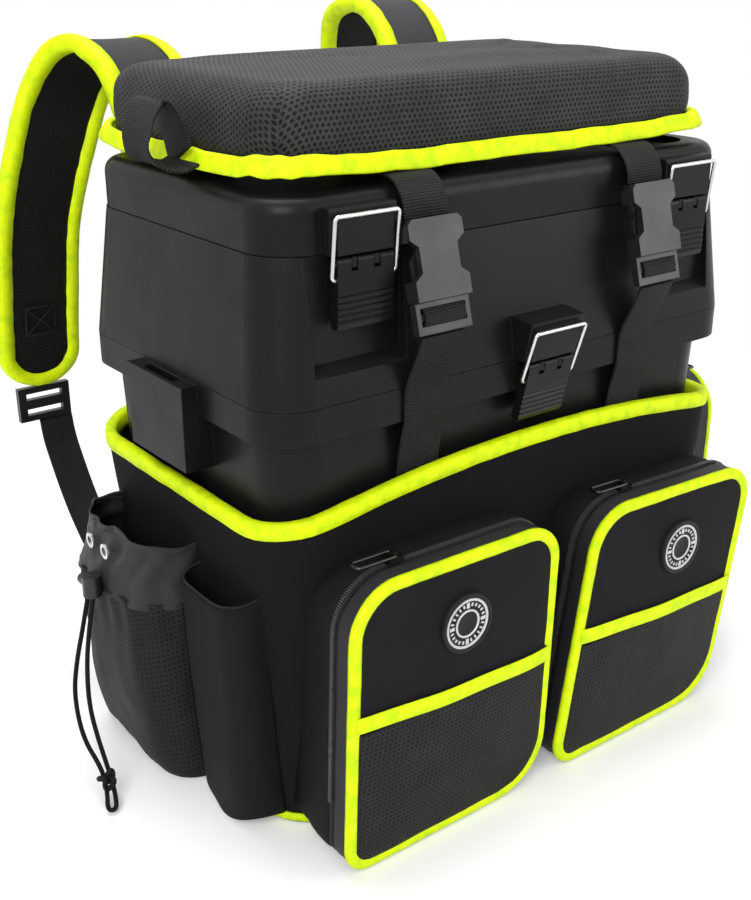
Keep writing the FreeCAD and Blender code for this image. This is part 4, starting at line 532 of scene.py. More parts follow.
def make_cord():
    """The cord as a curve over the CAD route, and its overhand knot."""
    data = bpy.data.curves.new("draw_cord_line", "CURVE")
    data.dimensions = "3D"
    data.bevel_depth = CORD_WIDE / 2 * MM
    data.bevel_resolution = 4
    data.use_fill_caps = True
    line = data.splines.new("NURBS")
    line.points.add(len(CORD_ROUTE) - 1)
    for point, place in zip(line.points, CORD_ROUTE):
        point.co = (*(c * MM for c in place), 1)
    line.order_u = 3
    line.use_endpoint_u = True
    line.resolution_u = 12
    cord = linked("draw_cord_line", data)
    dress(cord, CORD_LOOK, BAG, ["draw_cord"])

    turn = np.linspace(0, 2 * math.pi, 90, endpoint=False)
    lean = math.radians(KNOT_LEAN)
    x = KNOT_REACH * (np.sin(turn) + 1.6 * np.sin(2 * turn))
    y = KNOT_REACH * (np.cos(turn) - 1.6 * np.cos(2 * turn))
    z = -KNOT_RISE * np.sin(3 * turn)
    back = y * math.cos(lean) - z * math.sin(lean)
    path = KNOT_AT + np.stack([x, back, y * math.sin(lean) + z * math.cos(lean)], 1)
    path = np.vstack([path, path[:1]])
    knot = sweep("cord_overhand_knot", path, (0.3, 0.2, 1), rounded_loop(rectangle(3.6, 3.6), 1.75, 3, 1))
    dress(knot, CORD_LOOK, BAG, ["cord_knot"])


# The bag


BAG_FOOT = (358.0, 210.0)
BAG_TOP = (387.8, 233.2)
BAG_LOFT = 235.0
BAG_CORNER = 38.0
TOP_EDGE = ((-214, 207), (38.8, 231), (214, 210))
EDGE_TAPE = ((1.2, -8.6), (1.9, -8.0), (2.1, -4.5), (1.9, -0.6), (0.9, 0.9), (-1, 1.5), (-3.5, 1.5),
             (-5.3, 0.9), (-6.1, -1), (-6.2, -5), (-6.2, -9.5), (-5.2, -9.4), (-5.0, -1),
             (-2.5, 0.2), (0.1, -1), (0.2, -8.6))
FOOT_TAPE = ((0.2, 2), (1.5, 2.2), (1.9, 3.5), (1.9, 6.5), (1.5, 7.8), (0.2, 8))


def arc_height(x):
    """Height of the bag's top edge, a wide arc through three of its points (x, z)."""
    (x1, z1), (x2, z2), (x3, z3) = TOP_EDGE
    rows = np.array([[2 * (x2 - x1), 2 * (z2 - z1)], [2 * (x3 - x1), 2 * (z3 - z1)]], float)
    right = np.array([x2**2 + z2**2 - x1**2 - z1**2, x3**2 + z3**2 - x1**2 - z1**2], float)
    xc, zc = np.linalg.solve(rows, right)
    reach = math.hypot(x1 - xc, z1 - zc)
    return zc + np.sqrt(reach**2 - (x - xc) ** 2)


def bag_points(z, grow):
    """The bag's outline at heights z, one for each outline point or one for all."""
    foot, top = [
        rounded_loop(rectangle(width + 2 * grow, depth + 2 * grow), BAG_CORNER + grow, 9, 26)
        for width, depth in (BAG_FOOT, BAG_TOP)
    ]
    share = np.broadcast_to(z, len(foot))[:, None] / BAG_LOFT
    flat = foot + (top - foot) * share
    return np.column_stack([flat, np.broadcast_to(z, len(foot))])


def outward(loop):
    """Level directions away from a closed outline that runs anticlockwise."""
    run = np.roll(loop, -1, 0) - np.roll(loop, 1, 0)
    return unit(np.stack([run[:, 1], -run[:, 0], np.zeros(len(run))], 1))


def make_bag():
    """The bag's wall with its soft lifts, its folded edge and its two lime tapes."""
    top = bag_points(BAG_LOFT, 0)
    edge = arc_height(top[:, 0])
    way = outward(top)
    rows = []
    for share in np.linspace(0, 1, 40):
        row = bag_points(edge * share, 0)
        soft = math.sin(math.pi * share) ** 0.6
        push = 1.6 * lifts(row, 55, 3.0) + 0.7 * lifts(row, 20, 9.0)
        row += way * (push * soft - 0.6 * (share < 0.02))[:, None]
        rows.append(row)
    for drop in (0, 6, 20, 40, 60):
        rows.append(bag_points(edge - drop, -5))
    body = patch("bag_shell", rows, closed_u=True, caps=(True, False))
    dress(body, BAG_CLOTH, BAG, ["bag_body"])

    rows = []
    for grow, shift in EDGE_TAPE:
        row = bag_points(edge + shift, grow)
        wave = 0.35 * lifts(row * (1, 1, 0.2), 9, 5.0)
        row += way * wave[:, None] + np.outer(0.5 * lifts(row * (1, 1, 0), 14, 2.0), (0, 0, 1))
        rows.append(row)
    binding = closed_band("bag_edge_tape", rows)
    dress(binding, LIME_TAPE, BAG, ["bag_top_binding"])

    foot = closed_band("bag_foot_tape", [bag_points(z, grow) for grow, z in FOOT_TAPE])
    dress(foot, LIME_TAPE, BAG, ["bag_base_binding"])


# Zipped pockets, in their own coordinates: (x, out, z) with out away from the bag.
# Corner radii run from the lower left anticlockwise; lean shifts the foot to the left.


POCKETS = {
    "left": dict(at=-91.0, edge=116.6, width=157.0, height=186.0, slope=2.0, lean=6.0, low=3.0,
                 radii=(16, 38, 24, 33), stripe=102.0, badge=146.0, side=False),
    "right": dict(at=100.0, edge=116.6, width=157.0, height=180.0, slope=6.0, lean=28.0, low=3.0,
                  radii=(16, 38, 24, 33), stripe=94.0, badge=137.0, side=False),
    "side": dict(at=0.0, edge=193.9, width=150.0, height=176.0, slope=0.0, lean=0.0, low=34.0,
                 radii=(33, 33, 33, 33), side=True),
}
ZIP_OUT = 18.0
FACE_OUT = 37.0
FACE_BULGE = 5.0
STRIPE_SLOPE = 8.0 / 157
CORNER_STEPS, SIDE_STEPS = 9, 22
TOOTH_PITCH = 1.5
TOOTH = ((-0.45, -0.4), (0.45, -0.4), (0.3, 0.85), (-0.3, 0.85))


def lean_at(shape, z):
    """How far the pocket hangs to the left at a height."""
    return shape["lean"] * (shape["low"] + shape["height"] - z) / shape["height"]


def pocket_corners(shape, inset):
    """The outline's corners drawn in by inset, from the lower left anticlockwise."""
    half = shape["width"] / 2 - inset
    low, head = shape["low"] + inset, shape["low"] + shape["height"] - inset
    corners = [(-half, low), (half, low), (half, head - shape["slope"]), (-half, head)]
    return np.array([(x - lean_at(shape, z), z) for x, z in corners])


def pocket_loop(shape, inset):
    """The pocket's outline drawn in by inset, as (x, z)."""
    radii = [max(radius - inset, 2) for radius in shape["radii"]]
    return rounded_loop(pocket_corners(shape, inset), radii, CORNER_STEPS, SIDE_STEPS)


def seat_pocket(shape, x, out, z):
    """Pocket coordinates to the frame."""
    x, out, z = np.broadcast_arrays(x, out, z)
    if shape["side"]:
        return np.stack([out, x + shape["at"], z], -1)
    return np.stack([x + shape["at"], -out, z], -1)


def pocket_ring(shape, inset, out):
    """The outline in the frame, at one place out from the bag."""
    loop = pocket_loop(shape, inset)
    return seat_pocket(shape, loop[:, 0], out, loop[:, 1])


def face_bulge(shape, x, z):
    """How far the stuffed face stands out, none at its edge."""
    across = np.clip(1 - (2 * (x + lean_at(shape, z)) / shape["width"]) ** 2, 0, 1)
    up = np.clip(1 - (2 * (z - shape["low"]) / shape["height"] - 1) ** 2, 0, 1)
    return FACE_BULGE * (across * up) ** 0.7


def on_face(shape, x, lift, z):
    """Points at a lift above the stuffed face."""
    return seat_pocket(shape, x, shape["edge"] + FACE_OUT + lift + face_bulge(shape, x, z), z)


def rippled_rings(shape, section, base, height, size, seed, soft=(-99, 99)):
    """Rings of a section, with ripples away from the middle where out is in the soft range."""
    rows = []
    for out, inset in section:
        row = pocket_ring(shape, inset, base + out)
        ripples = height * lifts(row, size, seed)[:, None] * (soft[0] < out < soft[1])
        rows.append(row + ripples * unit(row - row.mean(0)))
    return rows


def face_rows(shape, inset, share_high, lift, nx, nz, tilt=0.0):
    """A field of the face from its foot to a share of its height, in its round outline."""
    foot_left, foot_right, head_right, head_left = pocket_corners(shape, inset)
    radii = [radius - inset for radius in shape["radii"]]
    rows = []
    for share in np.linspace(0, share_high, nz):
        ends = []
        for foot, head, low_radius, high_radius, way in (
            (foot_left, head_left, radii[0], radii[3], 1),
            (foot_right, head_right, radii[1], radii[2], -1),
        ):
            height = head[1] - foot[1]
            here = min(max(share - way * tilt * share / share_high, 0), 1)
            near, radius = min((here * height, low_radius), ((1 - here) * height, high_radius))
            cut = radius - math.sqrt(radius**2 - (radius - near) ** 2) if near < radius else 0.0
            ends.append(foot + (head - foot) * here + (way * cut, 0))
        t = np.linspace(0, 1, nx)[:, None]
        flat = ends[0] * (1 - t) + ends[1] * t
        rows.append(on_face(shape, flat[:, 0], lift, flat[:, 1]))
    rows = np.array(rows)
    rows[..., 0 if shape["side"] else 1] += 0.5 * lifts(rows, 24, 3.0)
    return rows


GUSSET = ((-26, 4), (-8, 2.4), (-2, 1.0), (4, 0.2), (9, -0.1), (13, -0.1), (16.4, 0.3), (17.6, 1.0))
ZIP_TAPE = ((-0.8, 1.2), (0.2, 0.4), (2, 0.2), (3.8, 0.4), (4.6, 1.2), (2, 2.2))
CUP_RIM = ((22.7, 1.0), (23.6, 0.1), (26, -0.3), (29, 0.2), (32, -0.2), (35, 0.1), (36.4, 0.6),
           (36.9, 2.0), (37, 6.0))
PIPING = ((0.1, 6.6), (1.2, 6.4), (1.9, 5.0), (2.3, 2.8), (2.0, 0.6), (0.9, -0.7), (-0.6, -0.9),
          (-2.4, -0.5), (-2.6, 0.4), (-0.4, 0.6), (0.2, 3.0))


def make_pocket(name, shape):
    """One zipped pocket; its sections are (out, inset) pairs across the edge."""
    edge = shape["edge"]
    body = f"pocket_cup_{name}"
    plane = (1, 2) if shape["side"] else (0, 2)
    rows = rippled_rings(shape, GUSSET, edge, 1.2, 26, 1.0 + shape["at"], (-5, 16))
    gusset = shell(f"pocket_{name}_gusset", rows, 2.0, closed_u=True)
    dress(gusset, SMOOTH_CLOTH, BAG, [f"pocket_gusset_{name}"])

    rows = [pocket_ring(shape, inset, edge + ZIP_OUT + out) for out, inset in ZIP_TAPE]
    zip_tape = closed_band(f"pocket_{name}_zip_tape", rows)
    dress(zip_tape, HEM, BAG)
    stands_for = ["pocket_zips"] if name == "left" else ()
    dress(zip_teeth(name, shape), ZIP_TEETH_HIGHLIT, BAG, stands_for)

    rows = rippled_rings(shape, CUP_RIM, edge, 0.7, 15, 4.0, (0, 36))
    rim = shell(f"pocket_{name}_rim", rows, 1.6, closed_u=True)
    dress(rim, RIB_CLOTH, body)
    face = shell(f"pocket_{name}_face", face_rows(shape, 2.5, 1, 0.0, 44, 56), 1.6, plane=plane)
    dress(face, FACE_CLOTH, body, [f"pocket_front_{name}"])

    rows = rippled_rings(shape, PIPING, edge + FACE_OUT, 0.3, 8, 2.0)
    trim = [closed_band(f"pocket_{name}_piping", rows)]
    if not shape["side"]:
        trim.append(shell(f"pocket_{name}_stripe", stripe_rows(shape), 1.2))
        share = (shape["stripe"] - shape["low"]) / shape["height"]
        tilt = STRIPE_SLOPE / 2 * shape["width"] / shape["height"]
        field = face_rows(shape, 5.6, share, 0.9, 60, 40, tilt)
        mesh = shell(f"pocket_{name}_net", field, 0.8, plane=plane)
        dress(mesh, PANEL_NET, body, [f"pocket_mesh_{name}"])
        make_badge(name, shape)
    dress(joined(f"pocket_{name}_trim", trim), LIME_TAPE, body, [f"pocket_trim_{name}"])


def stripe_rows(shape):
    """The lime band across the face, from its lower to its upper edge."""
    reach = shape["width"] / 2 - 3
    x = np.linspace(-reach, reach, 60) - lean_at(shape, shape["stripe"])
    rows = []
    for up, lift in ((-5.2, 1.8), (-4.6, 2.5), (0, 2.5), (4.6, 2.5), (5.2, 1.8)):
        z = shape["stripe"] + up - STRIPE_SLOPE * x + 0.4 * np.sin(x / 11)
        rows.append(on_face(shape, x, lift, z))
    return np.array(rows)


def zip_teeth(name, shape):
    """The coil of the zip as a row of small teeth round the pocket's sides and top."""
    loop = pocket_loop(shape, -0.4)
    start = CORNER_STEPS + SIDE_STEPS // 2
    run = np.vstack([loop[start:], loop[:CORNER_STEPS]])
    length = np.linalg.norm(np.diff(run, axis=0), axis=1).sum()
    run = resample(run, int(length / TOOTH_PITCH))
    run = run[run[:, 1] > shape["low"] + 42]
    ahead = unit(np.gradient(run, axis=0))
    away = np.stack([ahead[:, 1], -ahead[:, 0]], 1)
    points = []
    faces = []
    for place, along, up in zip(run, ahead, away):
        base = len(points)
        for out in (0.6, 3.6):
            for a, b in TOOTH:
                spot = place + along * a + up * b
                points.append(seat_pocket(shape, spot[0], shape["edge"] + ZIP_OUT + out, spot[1]))
        ring = [base + k for k in range(8)]
        faces += [(ring[k], ring[(k + 1) % 4], ring[4 + (k + 1) % 4], ring[4 + k]) for k in range(4)]
        faces += [tuple(ring[:4]), tuple(ring[4:])]
    return new_mesh(f"pocket_{name}_zip_teeth", points, faces, smooth=False)


def disc(name, shape, out, radii):
    """A round relief on the badge's centre from (radius, height) pairs, facing out."""
    turn = np.linspace(0, 2 * math.pi, 56, endpoint=False)
    x, z = np.cos(turn), np.sin(turn)
    rows = [seat_pocket(shape, r * x, out + h, shape["badge"] + r * z) for r, h in radii]
    return patch(name, rows, closed_u=True, caps=(True, True))


BADGE_RELIEF = ((18.8, 0), (19, 1), (19, 3.9), (18.5, 4.5), (16.8, 4.6), (16.3, 4.1), (15.9, 3.6),
                (0.5, 3.7))
BADGE_SUNK = 2.2
MARK_LOW, MARK_HIGH = 3.4, 4.2
RINGS = ((15.2, 0.75), (8.4, 0.6))
TICKS, QUARTER = 24, 6


def make_badge(name, shape):
    """A plain rubber disc with a raised rim, a ring and even ticks."""
    z = shape["badge"]
    base = shape["edge"] + FACE_OUT + float(face_bulge(shape, 0.0, z)) - BADGE_SUNK
    body = f"pocket_cup_{name}"
    plate = disc(f"badge_{name}_plate", shape, base, BADGE_RELIEF)
    dress(plate, RUBBER, body, [f"pocket_badge_{name}"])
    marks = []
    for radius, half in RINGS:
        far, near = radius + half, radius - half
        ring = [(far, 3.5), (far, MARK_HIGH), (near, MARK_HIGH), (near, 3.5)]
        marks.append(disc(f"badge_{name}_ring", shape, base, ring))
    for k in range(TICKS):
        turn = 2 * math.pi * k / TICKS
        near, far, half = (11.2, 13.2, 0.5) if k % QUARTER else (10.2, 13.6, 1.0)
        along = np.array((math.cos(turn), math.sin(turn)))
        side = np.array((-along[1], along[0]))
        corners = [along * near - side * half, along * far - side * half,
                   along * far + side * half, along * near + side * half]
        rows = [[seat_pocket(shape, a, base + h, z + b) for a, b in corners] for h in (MARK_LOW, MARK_HIGH)]
        marks.append(patch(f"badge_{name}_tick", rows, closed_u=True, caps=(True, True), smooth=False))
    relief = joined(f"badge_{name}_relief", marks)
    dress(relief, PALE_INK, body)


# Pockets on the left side


def bag_side(z):
    """Half of the bag's width at a height."""
    return (BAG_FOOT[0] + (BAG_TOP[0] - BAG_FOOT[0]) * z / BAG_LOFT) / 2


def side_line(front, rear, z, reach, count=72):
    """The open outline of a pocket on the left side, from its rear seam to its front seam."""
    face = -bag_side(z)
    radius = min(reach, (rear - front) / 2) * 0.85
    turn = np.linspace(0, math.pi / 2, 10)
    across, along = radius - radius * np.sin(turn), radius - radius * np.cos(turn)
    back = np.stack([face - reach + across, rear - along], 1)
    fore = np.stack([face - reach + along, front + across], 1)
    rear_end = 16 if rear > 80 else 5
    line = np.vstack([[(face + rear_end, rear - 2)], back, fore, [(face + 5, front)]])
    return np.column_stack([resample(line, count), np.full(count, float(z))])


def surface_away(line):
    """Level directions out of an open line on the left side."""
    run = np.gradient(line, axis=0)
    away = unit(np.stack([run[:, 1], -run[:, 0], np.zeros(len(run))], 1))
    return away * np.where(away[:, :1].mean() > 0, -1.0, 1.0)


def shares(line):
    """Shares of the way along a line, and a fade that is none at its two seams."""
    along = np.linspace(0, 1, len(line))
    return along, np.sin(math.pi * along) ** 0.5


def edge_hem(name, line, radius=0.9, across=(0, 0, 1)):
    """A thin bound or folded edge along a line."""
    return sweep(name, line, across, rounded_loop(rectangle(2.4 * radius, 2 * radius), radius * 0.9, 3, 1))


def pocket_floor(name, rim, y, z):
    """A cloth floor from a pocket's lowest line in to the bag."""
    middle = np.array([-bag_side(z) + 6, y, z])
    base = patch(name, [rim * (1 - t) + middle * t for t in (0, 0.5, 0.98)])
    dress(base, SMOOTH_CLOTH, BAG)


NET_FRONT, NET_REAR = -19.0, 101.0
NET_REACH = 40
TUBE_FRONT, TUBE_REAR = -86, -23


def make_net_pocket():
    """The bottle pocket's net, gathered in folds towards its top, and its floor."""
    rows = []
    for share in np.linspace(0, 1, 34):
        reach = NET_REACH * (0.78 + 0.22 * min(1, share * 2.6) ** 0.6)
        line = side_line(NET_FRONT, NET_REAR - 8 * share**2, 2 + 133 * share, reach)
        along, ends = shares(line)
        folds = 1.5 * lifts(line * (1, 1, 0.35), 16, 6.0) + 1.2 * np.sin(along * 62 + 2 * share) * share**4
        line += surface_away(line) * (folds * ends)[:, None]
        line[:, 2] += 9 * (1 - share) ** 3 * (1 - along) ** 2
        rows.append(line)
    mesh = shell("mesh_pocket_net", rows[::-1], 1.2)
    dress(mesh, POCKET_NET, BAG, ["mesh_pocket"])
    pocket_floor("mesh_pocket_base", rows[0], (NET_FRONT + NET_REAR) / 2, 4.0)


def make_nylon_band():
    """The crumpled band over the net, drawn in by its cord, with a row of stitches."""
    rows = []
    for share in np.linspace(0, 1, 30):
        reach = 40.8 * (1 - 0.24 * share)
        line = side_line(NET_FRONT, NET_REAR - 8 - 14 * share, 131 + 42 * share, reach)
        along, ends = shares(line)
        gather = math.exp(-((share - 0.6) / 0.22) ** 2)
        hang = 1.6 * np.sin(along * 44) * (1 - share) ** 2
        crumple = 3.0 * lifts(line * (1, 1, 0.8), 17, 2.0) + 1.6 * lifts(line, 8, 5.0)
        pleats = 1.8 * np.sin(along * 50 + 1.3 * math.sin(5 * share)) * gather
        folds = pleats + crumple * (0.35 + share) - 2 * gather
        line += surface_away(line) * ((folds + hang).clip(-6, 5) * ends)[:, None]
        line[:, 2] += (6 * lifts(line * (1, 1, 0), 24, 8.0) * share + 1.5 * share) * ends
        rows.append(line)
    band = shell("mesh_pocket_nylon", rows[::-1], 1.2)
    dress(band, NYLON, BAG, ["mesh_pocket_band"])
    seam = rows[2] + surface_away(rows[2]) * 0.35
    stitches = [edge_hem("stitch", resample(seam[k:k + 2], 3), 0.35) for k in range(2, 70, 2)]
    dress(joined("mesh_pocket_stitches", stitches), THREAD, BAG)


def make_tube_pocket():
    """The narrow open pocket with its bound edges."""
    rows = []
    for share in np.linspace(0, 1, 28):
        line = side_line(TUBE_FRONT, TUBE_REAR, 1.5 + 161.5 * share, 20 - 2 * share, 40)
        along, ends = shares(line)
        folds = 1.6 * lifts(line * (1, 1, 0.6), 40, 4.0) + math.exp(-share / 0.08) * np.sin(along * 14)
        line += surface_away(line) * (folds * ends)[:, None]
        line[:, 2] -= 5 * ends * share**6
        line[:, 2] += 4 * (1 - share) ** 8 * (1 + np.sin(along * 9))
        rows.append(line)
    sleeve = shell("tube_pocket_sleeve", rows[::-1], 1.8)
    dress(sleeve, SMOOTH_CLOTH, BAG, ["tube_pocket"])
    pocket_floor("tube_pocket_base", rows[0], (TUBE_FRONT + TUBE_REAR) / 2, 2.0)
    upright = np.array([row[32] for row in rows]) + (-0.3, -0.3, 0)
    hems = [edge_hem("hem", rows[-1] + (0, 0, 0.4)), edge_hem("hem", upright, 0.7, (1, 0, 0))]
    dress(joined("tube_pocket_hem", hems), HEM, BAG)


# Seat cushion


CUSHION = (346.0, 204.0)
CUSHION_Y = 9.5
CUSHION_LOW = 397.6
CUSHION_HIGH = 449.0
FLANGE_HIGH = 402.6
CUSHION_WIDEST = FLANGE_HIGH + 16
CUSHION_EDGE = 19
TAPE_FOLD = ((1.0, 9.6), (-1.2, 10.2), (-2.6, 8.0), (-4.0, 3.5), (-4.6, 0.8), (-4.2, -0.2), (-3.0, 0.2),
             (-1.6, 2.6), (0.5, 6.5), (2.2, 8.4))
GRAB_LOOP = ((0, 0), (8, -2), (17, 0), (23, 6), (22, 15), (17, 24), (9, 31), (3, 27), (0.4, 15), (0, 3))


def cushion_ring(inset, z):
    """The cushion's outline drawn in by inset, at a height."""
    corners = rectangle(CUSHION[0] - 2 * inset, CUSHION[1] - 2 * inset)
    flat = rounded_loop(corners, max(30 - inset * 0.45, 5), 18, 30)
    return np.column_stack([flat[:, 0], flat[:, 1] + CUSHION_Y, np.full(len(flat), float(z))])


def corner_share(ring):
    """1 at the four corners of a ring, 0 along its sides."""
    x = np.abs(ring[:, 0]) / (CUSHION[0] / 2)
    y = np.abs(ring[:, 1] - CUSHION_Y) / (CUSHION[1] / 2)
    return np.clip((x + y - 1.55) / 0.3, 0, 1)


def cushion_uvs(piece, rows, insets, flat_inset):
    """UVs of one cloth laid over the crown and cut at its four corners."""
    spread = np.linalg.norm(np.diff(rows, axis=0), axis=2).mean(1)
    run = np.r_[0, np.cumsum(spread)]
    start = int(np.argmin([abs(inset - flat_inset) for inset in insets]))
    extra = [max(run[start] - r, 0) - max(flat_inset - inset, 0) for r, inset in zip(run, insets)]
    count = rows.shape[1]
    layer = piece.data.uv_layers.active.data
    half = np.array(CUSHION) / 2
    for face in piece.data.polygons:
        points = np.array([rows[k // count, k % count, :2] for k in face.vertices]) - (0, CUSHION_Y)
        middle = points.mean(0)
        axis = int(np.argmin(half - np.abs(middle)))
        for loop, vertex, point in zip(face.loop_indices, face.vertices, points):
            shift = np.zeros(2)
            shift[axis] = math.copysign(extra[vertex // count], middle[axis])
            layer[loop].uv = (point + shift) * MM


def make_cushion():
    """The swollen crown with its corner seams, the lime tape and the grab loops."""
    low, top = CUSHION_WIDEST + 6, CUSHION_HIGH - 2
    levels = [(9, CUSHION_LOW + 0.5), (5, FLANGE_HIGH), (3.5, FLANGE_HIGH + 4), (2, FLANGE_HIGH + 8),
              (1.2, FLANGE_HIGH + 12), (1, CUSHION_WIDEST), (1.2, CUSHION_WIDEST + 5)]
    for turn in np.linspace(0.05, math.pi / 2, 12):
        inset = 1.4 + CUSHION_EDGE * (1 - math.cos(turn)) ** 1.1
        levels.append((inset, low + (top - low) * math.sin(turn)))
    levels += [(inset, top + 0.03 * (inset - 20)) for inset in (26, 33, 41, 50, 60, 70, 80, 88)]
    rows = np.array([cushion_ring(inset, z) for inset, z in levels])
    crown = patch("cushion_foam", rows, closed_u=True, caps=(True, True))
    cushion_uvs(crown, rows, [inset for inset, _ in levels], 1.4 + CUSHION_EDGE)
    inflate(crown, range(3 * rows.shape[1]), 2.0, 2.5)
    seam_corners(crown)
    dress(crown, SPACER_NET, "seat", ["seat_cushion"])

    rows = []
    for inset, up in TAPE_FOLD:
        ring = cushion_ring(inset, CUSHION_LOW + up)
        level = ring * (1, 1, 0)
        corner = corner_share(ring) ** 2
        ring[:, 2] += 0.9 * lifts(level, 18, 1.0) + 1.3 * lifts(level, 9, 4.0) * corner + 3.0 * corner
        ring += outward(ring) * (0.8 * lifts(level, 14, 7.0) + 1.0 * corner * (up < 5))[:, None]
        rows.append(ring)
    binding = closed_band("cushion_tape", rows)
    dress(binding, LIME_TAPE, "seat", ["cushion_binding"])

    loops = []
    for side in (-1, 1):
        edge = CUSHION[0] / 2 + 6.6
        path = [(side * (edge + a), -14.0 + 0.55 * b, CUSHION_LOW + 3 + b) for a, b in GRAB_LOOP]
        loops.append(sweep("grab_loop", smooth_line(path, 50), (0, 1, 0.1), strap_section(28, WEB_THICK)))
    dress(joined("cushion_grab_loops", loops), WEBBING, "seat", ["cushion_loops"])


SEAM_DEEP, SEAM_WIDE = 2.6, 2.2


def seam_corners(crown):
    """A sewn groove down each corner of the crown."""
    for vertex in crown.data.vertices:
        x, y, z = np.array(vertex.co) / MM - (0, CUSHION_Y, 0)
        near = np.array((CUSHION[0] / 2 - abs(x), CUSHION[1] / 2 - abs(y)))
        if near.max() > 34 or z < FLANGE_HIGH:
            continue
        off = (near[0] - near[1]) / math.sqrt(2)
        fade = np.clip((CUSHION_HIGH - z) / 12, 0, 1) * np.clip(1.6 - near.max() / 20, 0, 1)
        depth = SEAM_DEEP * math.exp(-(off / SEAM_WIDE) ** 2) * fade
        inward = np.array((-math.copysign(1, x), -math.copysign(1, y), 0)) / math.sqrt(2)
        vertex.co = (np.array((x, y, z)) + (0, CUSHION_Y, 0) + inward * depth) * MM


# Webbing on the front and the back


WEB_WIDE, WEB_THICK = 31, 1.9
HARNESS_WIDE = 26
BUCKLE_X = (-88.0, 88.0)
BUCKLE_AT = np.array((-111.5, 374))
BUCKLE_TILT = math.radians(15)
BUCKLE_FOOT, LADDER_BAR = 62, 52.5
RIM_Y, TUB_Y = -114.2, -104.2


def web_strip(points, x, width=WEB_WIDE, thick=WEB_THICK, count=70):
    """Flat webbing at one x along points (y, z)."""
    line = smooth_line(points, count)
    path = np.column_stack([np.full(count, float(x)), line])
    return sweep("strap", path, (1, 0, 0), strap_section(width, thick))


def make_front_straps():
    """Webbing up to the buckles, round their ladder bars, and from them over the lid's edge."""
    down = np.array((-math.sin(BUCKLE_TILT), -math.cos(BUCKLE_TILT)))
    ahead = np.array((-math.cos(BUCKLE_TILT), math.sin(BUCKLE_TILT)))
    foot = BUCKLE_AT + down * BUCKLE_FOOT
    lower = [foot + (-1.6, -1), foot + (4, -15), (RIM_Y - 2.2, 284), (RIM_Y, 272), (RIM_Y, 260),
             (TUB_Y - 6.2, 245), (TUB_Y - 3.6, 228), (TUB_Y - 2, 200), (TUB_Y - 0.8, 182)]
    upper = [(-84.5, 396.3), (-92.5, 396.3), (-101.5, 394.6), (-108.5, 388), (-111.7, 381), (-112.5, 374.6)]
    turn = np.linspace(-0.35 * math.pi, 1.35 * math.pi, 22)
    bar = BUCKLE_AT + down * LADDER_BAR + ahead * 1.6
    wrap = [bar + ahead * 3.9 * math.sin(a) + down * 5.2 * math.cos(a) for a in turn]
    below, above = [], []
    for x in BUCKLE_X:
        below += [web_strip(lower, x), web_strip(wrap, x, 29, 1.6, 40)]
        above.append(web_strip(upper, x, count=40))
    dress(joined("front_webbing_lower", below), WEBBING, BAG, ["front_straps_lower"])
    dress(joined("front_webbing_upper", above), WEBBING, "seat", ["front_straps_upper"])


STRAP_ROOT = [(0.0, 127.3, 322.0), (0.0, 125.0, 344.0), (0.02, 128.5, 378.0)]
STRAP_RUNS = {
    "left": [
        (0.05, 134, 410), (0.10, 150, 438), (0.18, 178, 448), (0.36, 197, 438), (0.56, 205, 413),
        (0.80, 203, 376), (0.98, 206, 330), (1.0, 217, 277), (1.0, 225, 236), (1.0, 226.5, 206),
    ],
    "right": [
        (0.05, 139, 415), (0.09, 155, 446), (0.14, 182, 465), (0.19, 212, 468), (0.26, 240, 456),
        (0.40, 256, 420), (0.62, 260, 370), (0.86, 254, 300), (1.0, 246, 236), (1.0, 244.5, 206),
    ],
}
REAR_RUN = [(111.94, 350.3), (110.94, 373.9), (109.94, 397.3)]
SHOULDER_WIDE, SHOULDER_THICK = 62.0, 10.0
SHOULDER_FOOT = 27
BOX_STITCH = [(-11, -11), (11, -11), (11, 11), (-11, 11), (-11, -11), (11, 11), (11, -11), (-11, 11)]
SHOULDER_TAPE = ((-5.7, -8.5), (-5.9, -2), (-4.3, 1.4), (0, 2.2), (4.3, 1.4), (5.9, -2), (5.7, -8.5),
                 (4.2, -8.4), (4.4, -2.2), (0, -0.2), (-4.4, -2.2), (-4.2, -8.4))


def make_harness():
    """Both shoulder straps, the webbing under them and the webbing over the lid's hinge."""
    webs = []
    for side, name in ((-1, "left"), (1, "right")):
        centres = [(side * (112 + 66 * share), y, z) for share, y, z in STRAP_ROOT + STRAP_RUNS[name]]
        path = smooth_line(centres, 120)
        dress_shoulder(name, path)
        foot = path[-1, 1:]
        steps = ((0, -27.6), (-8, -50), (-40, -92), (-84, -126))
        lower = [foot + step for step in steps] + [(117.4, 70), (109.4, 40)]
        webs.append(web_strip(lower, side * 170, HARNESS_WIDE))
    web = joined("harness_webbing", webs)
    dress(web, WEBBING, replaces=["strap_webbing"])
    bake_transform(web)

    rear = joined("rear_webbing", [web_strip(REAR_RUN, x, count=20) for x in BUCKLE_X])
    dress(rear, WEBBING, replaces=["rear_straps"])
    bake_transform(rear)


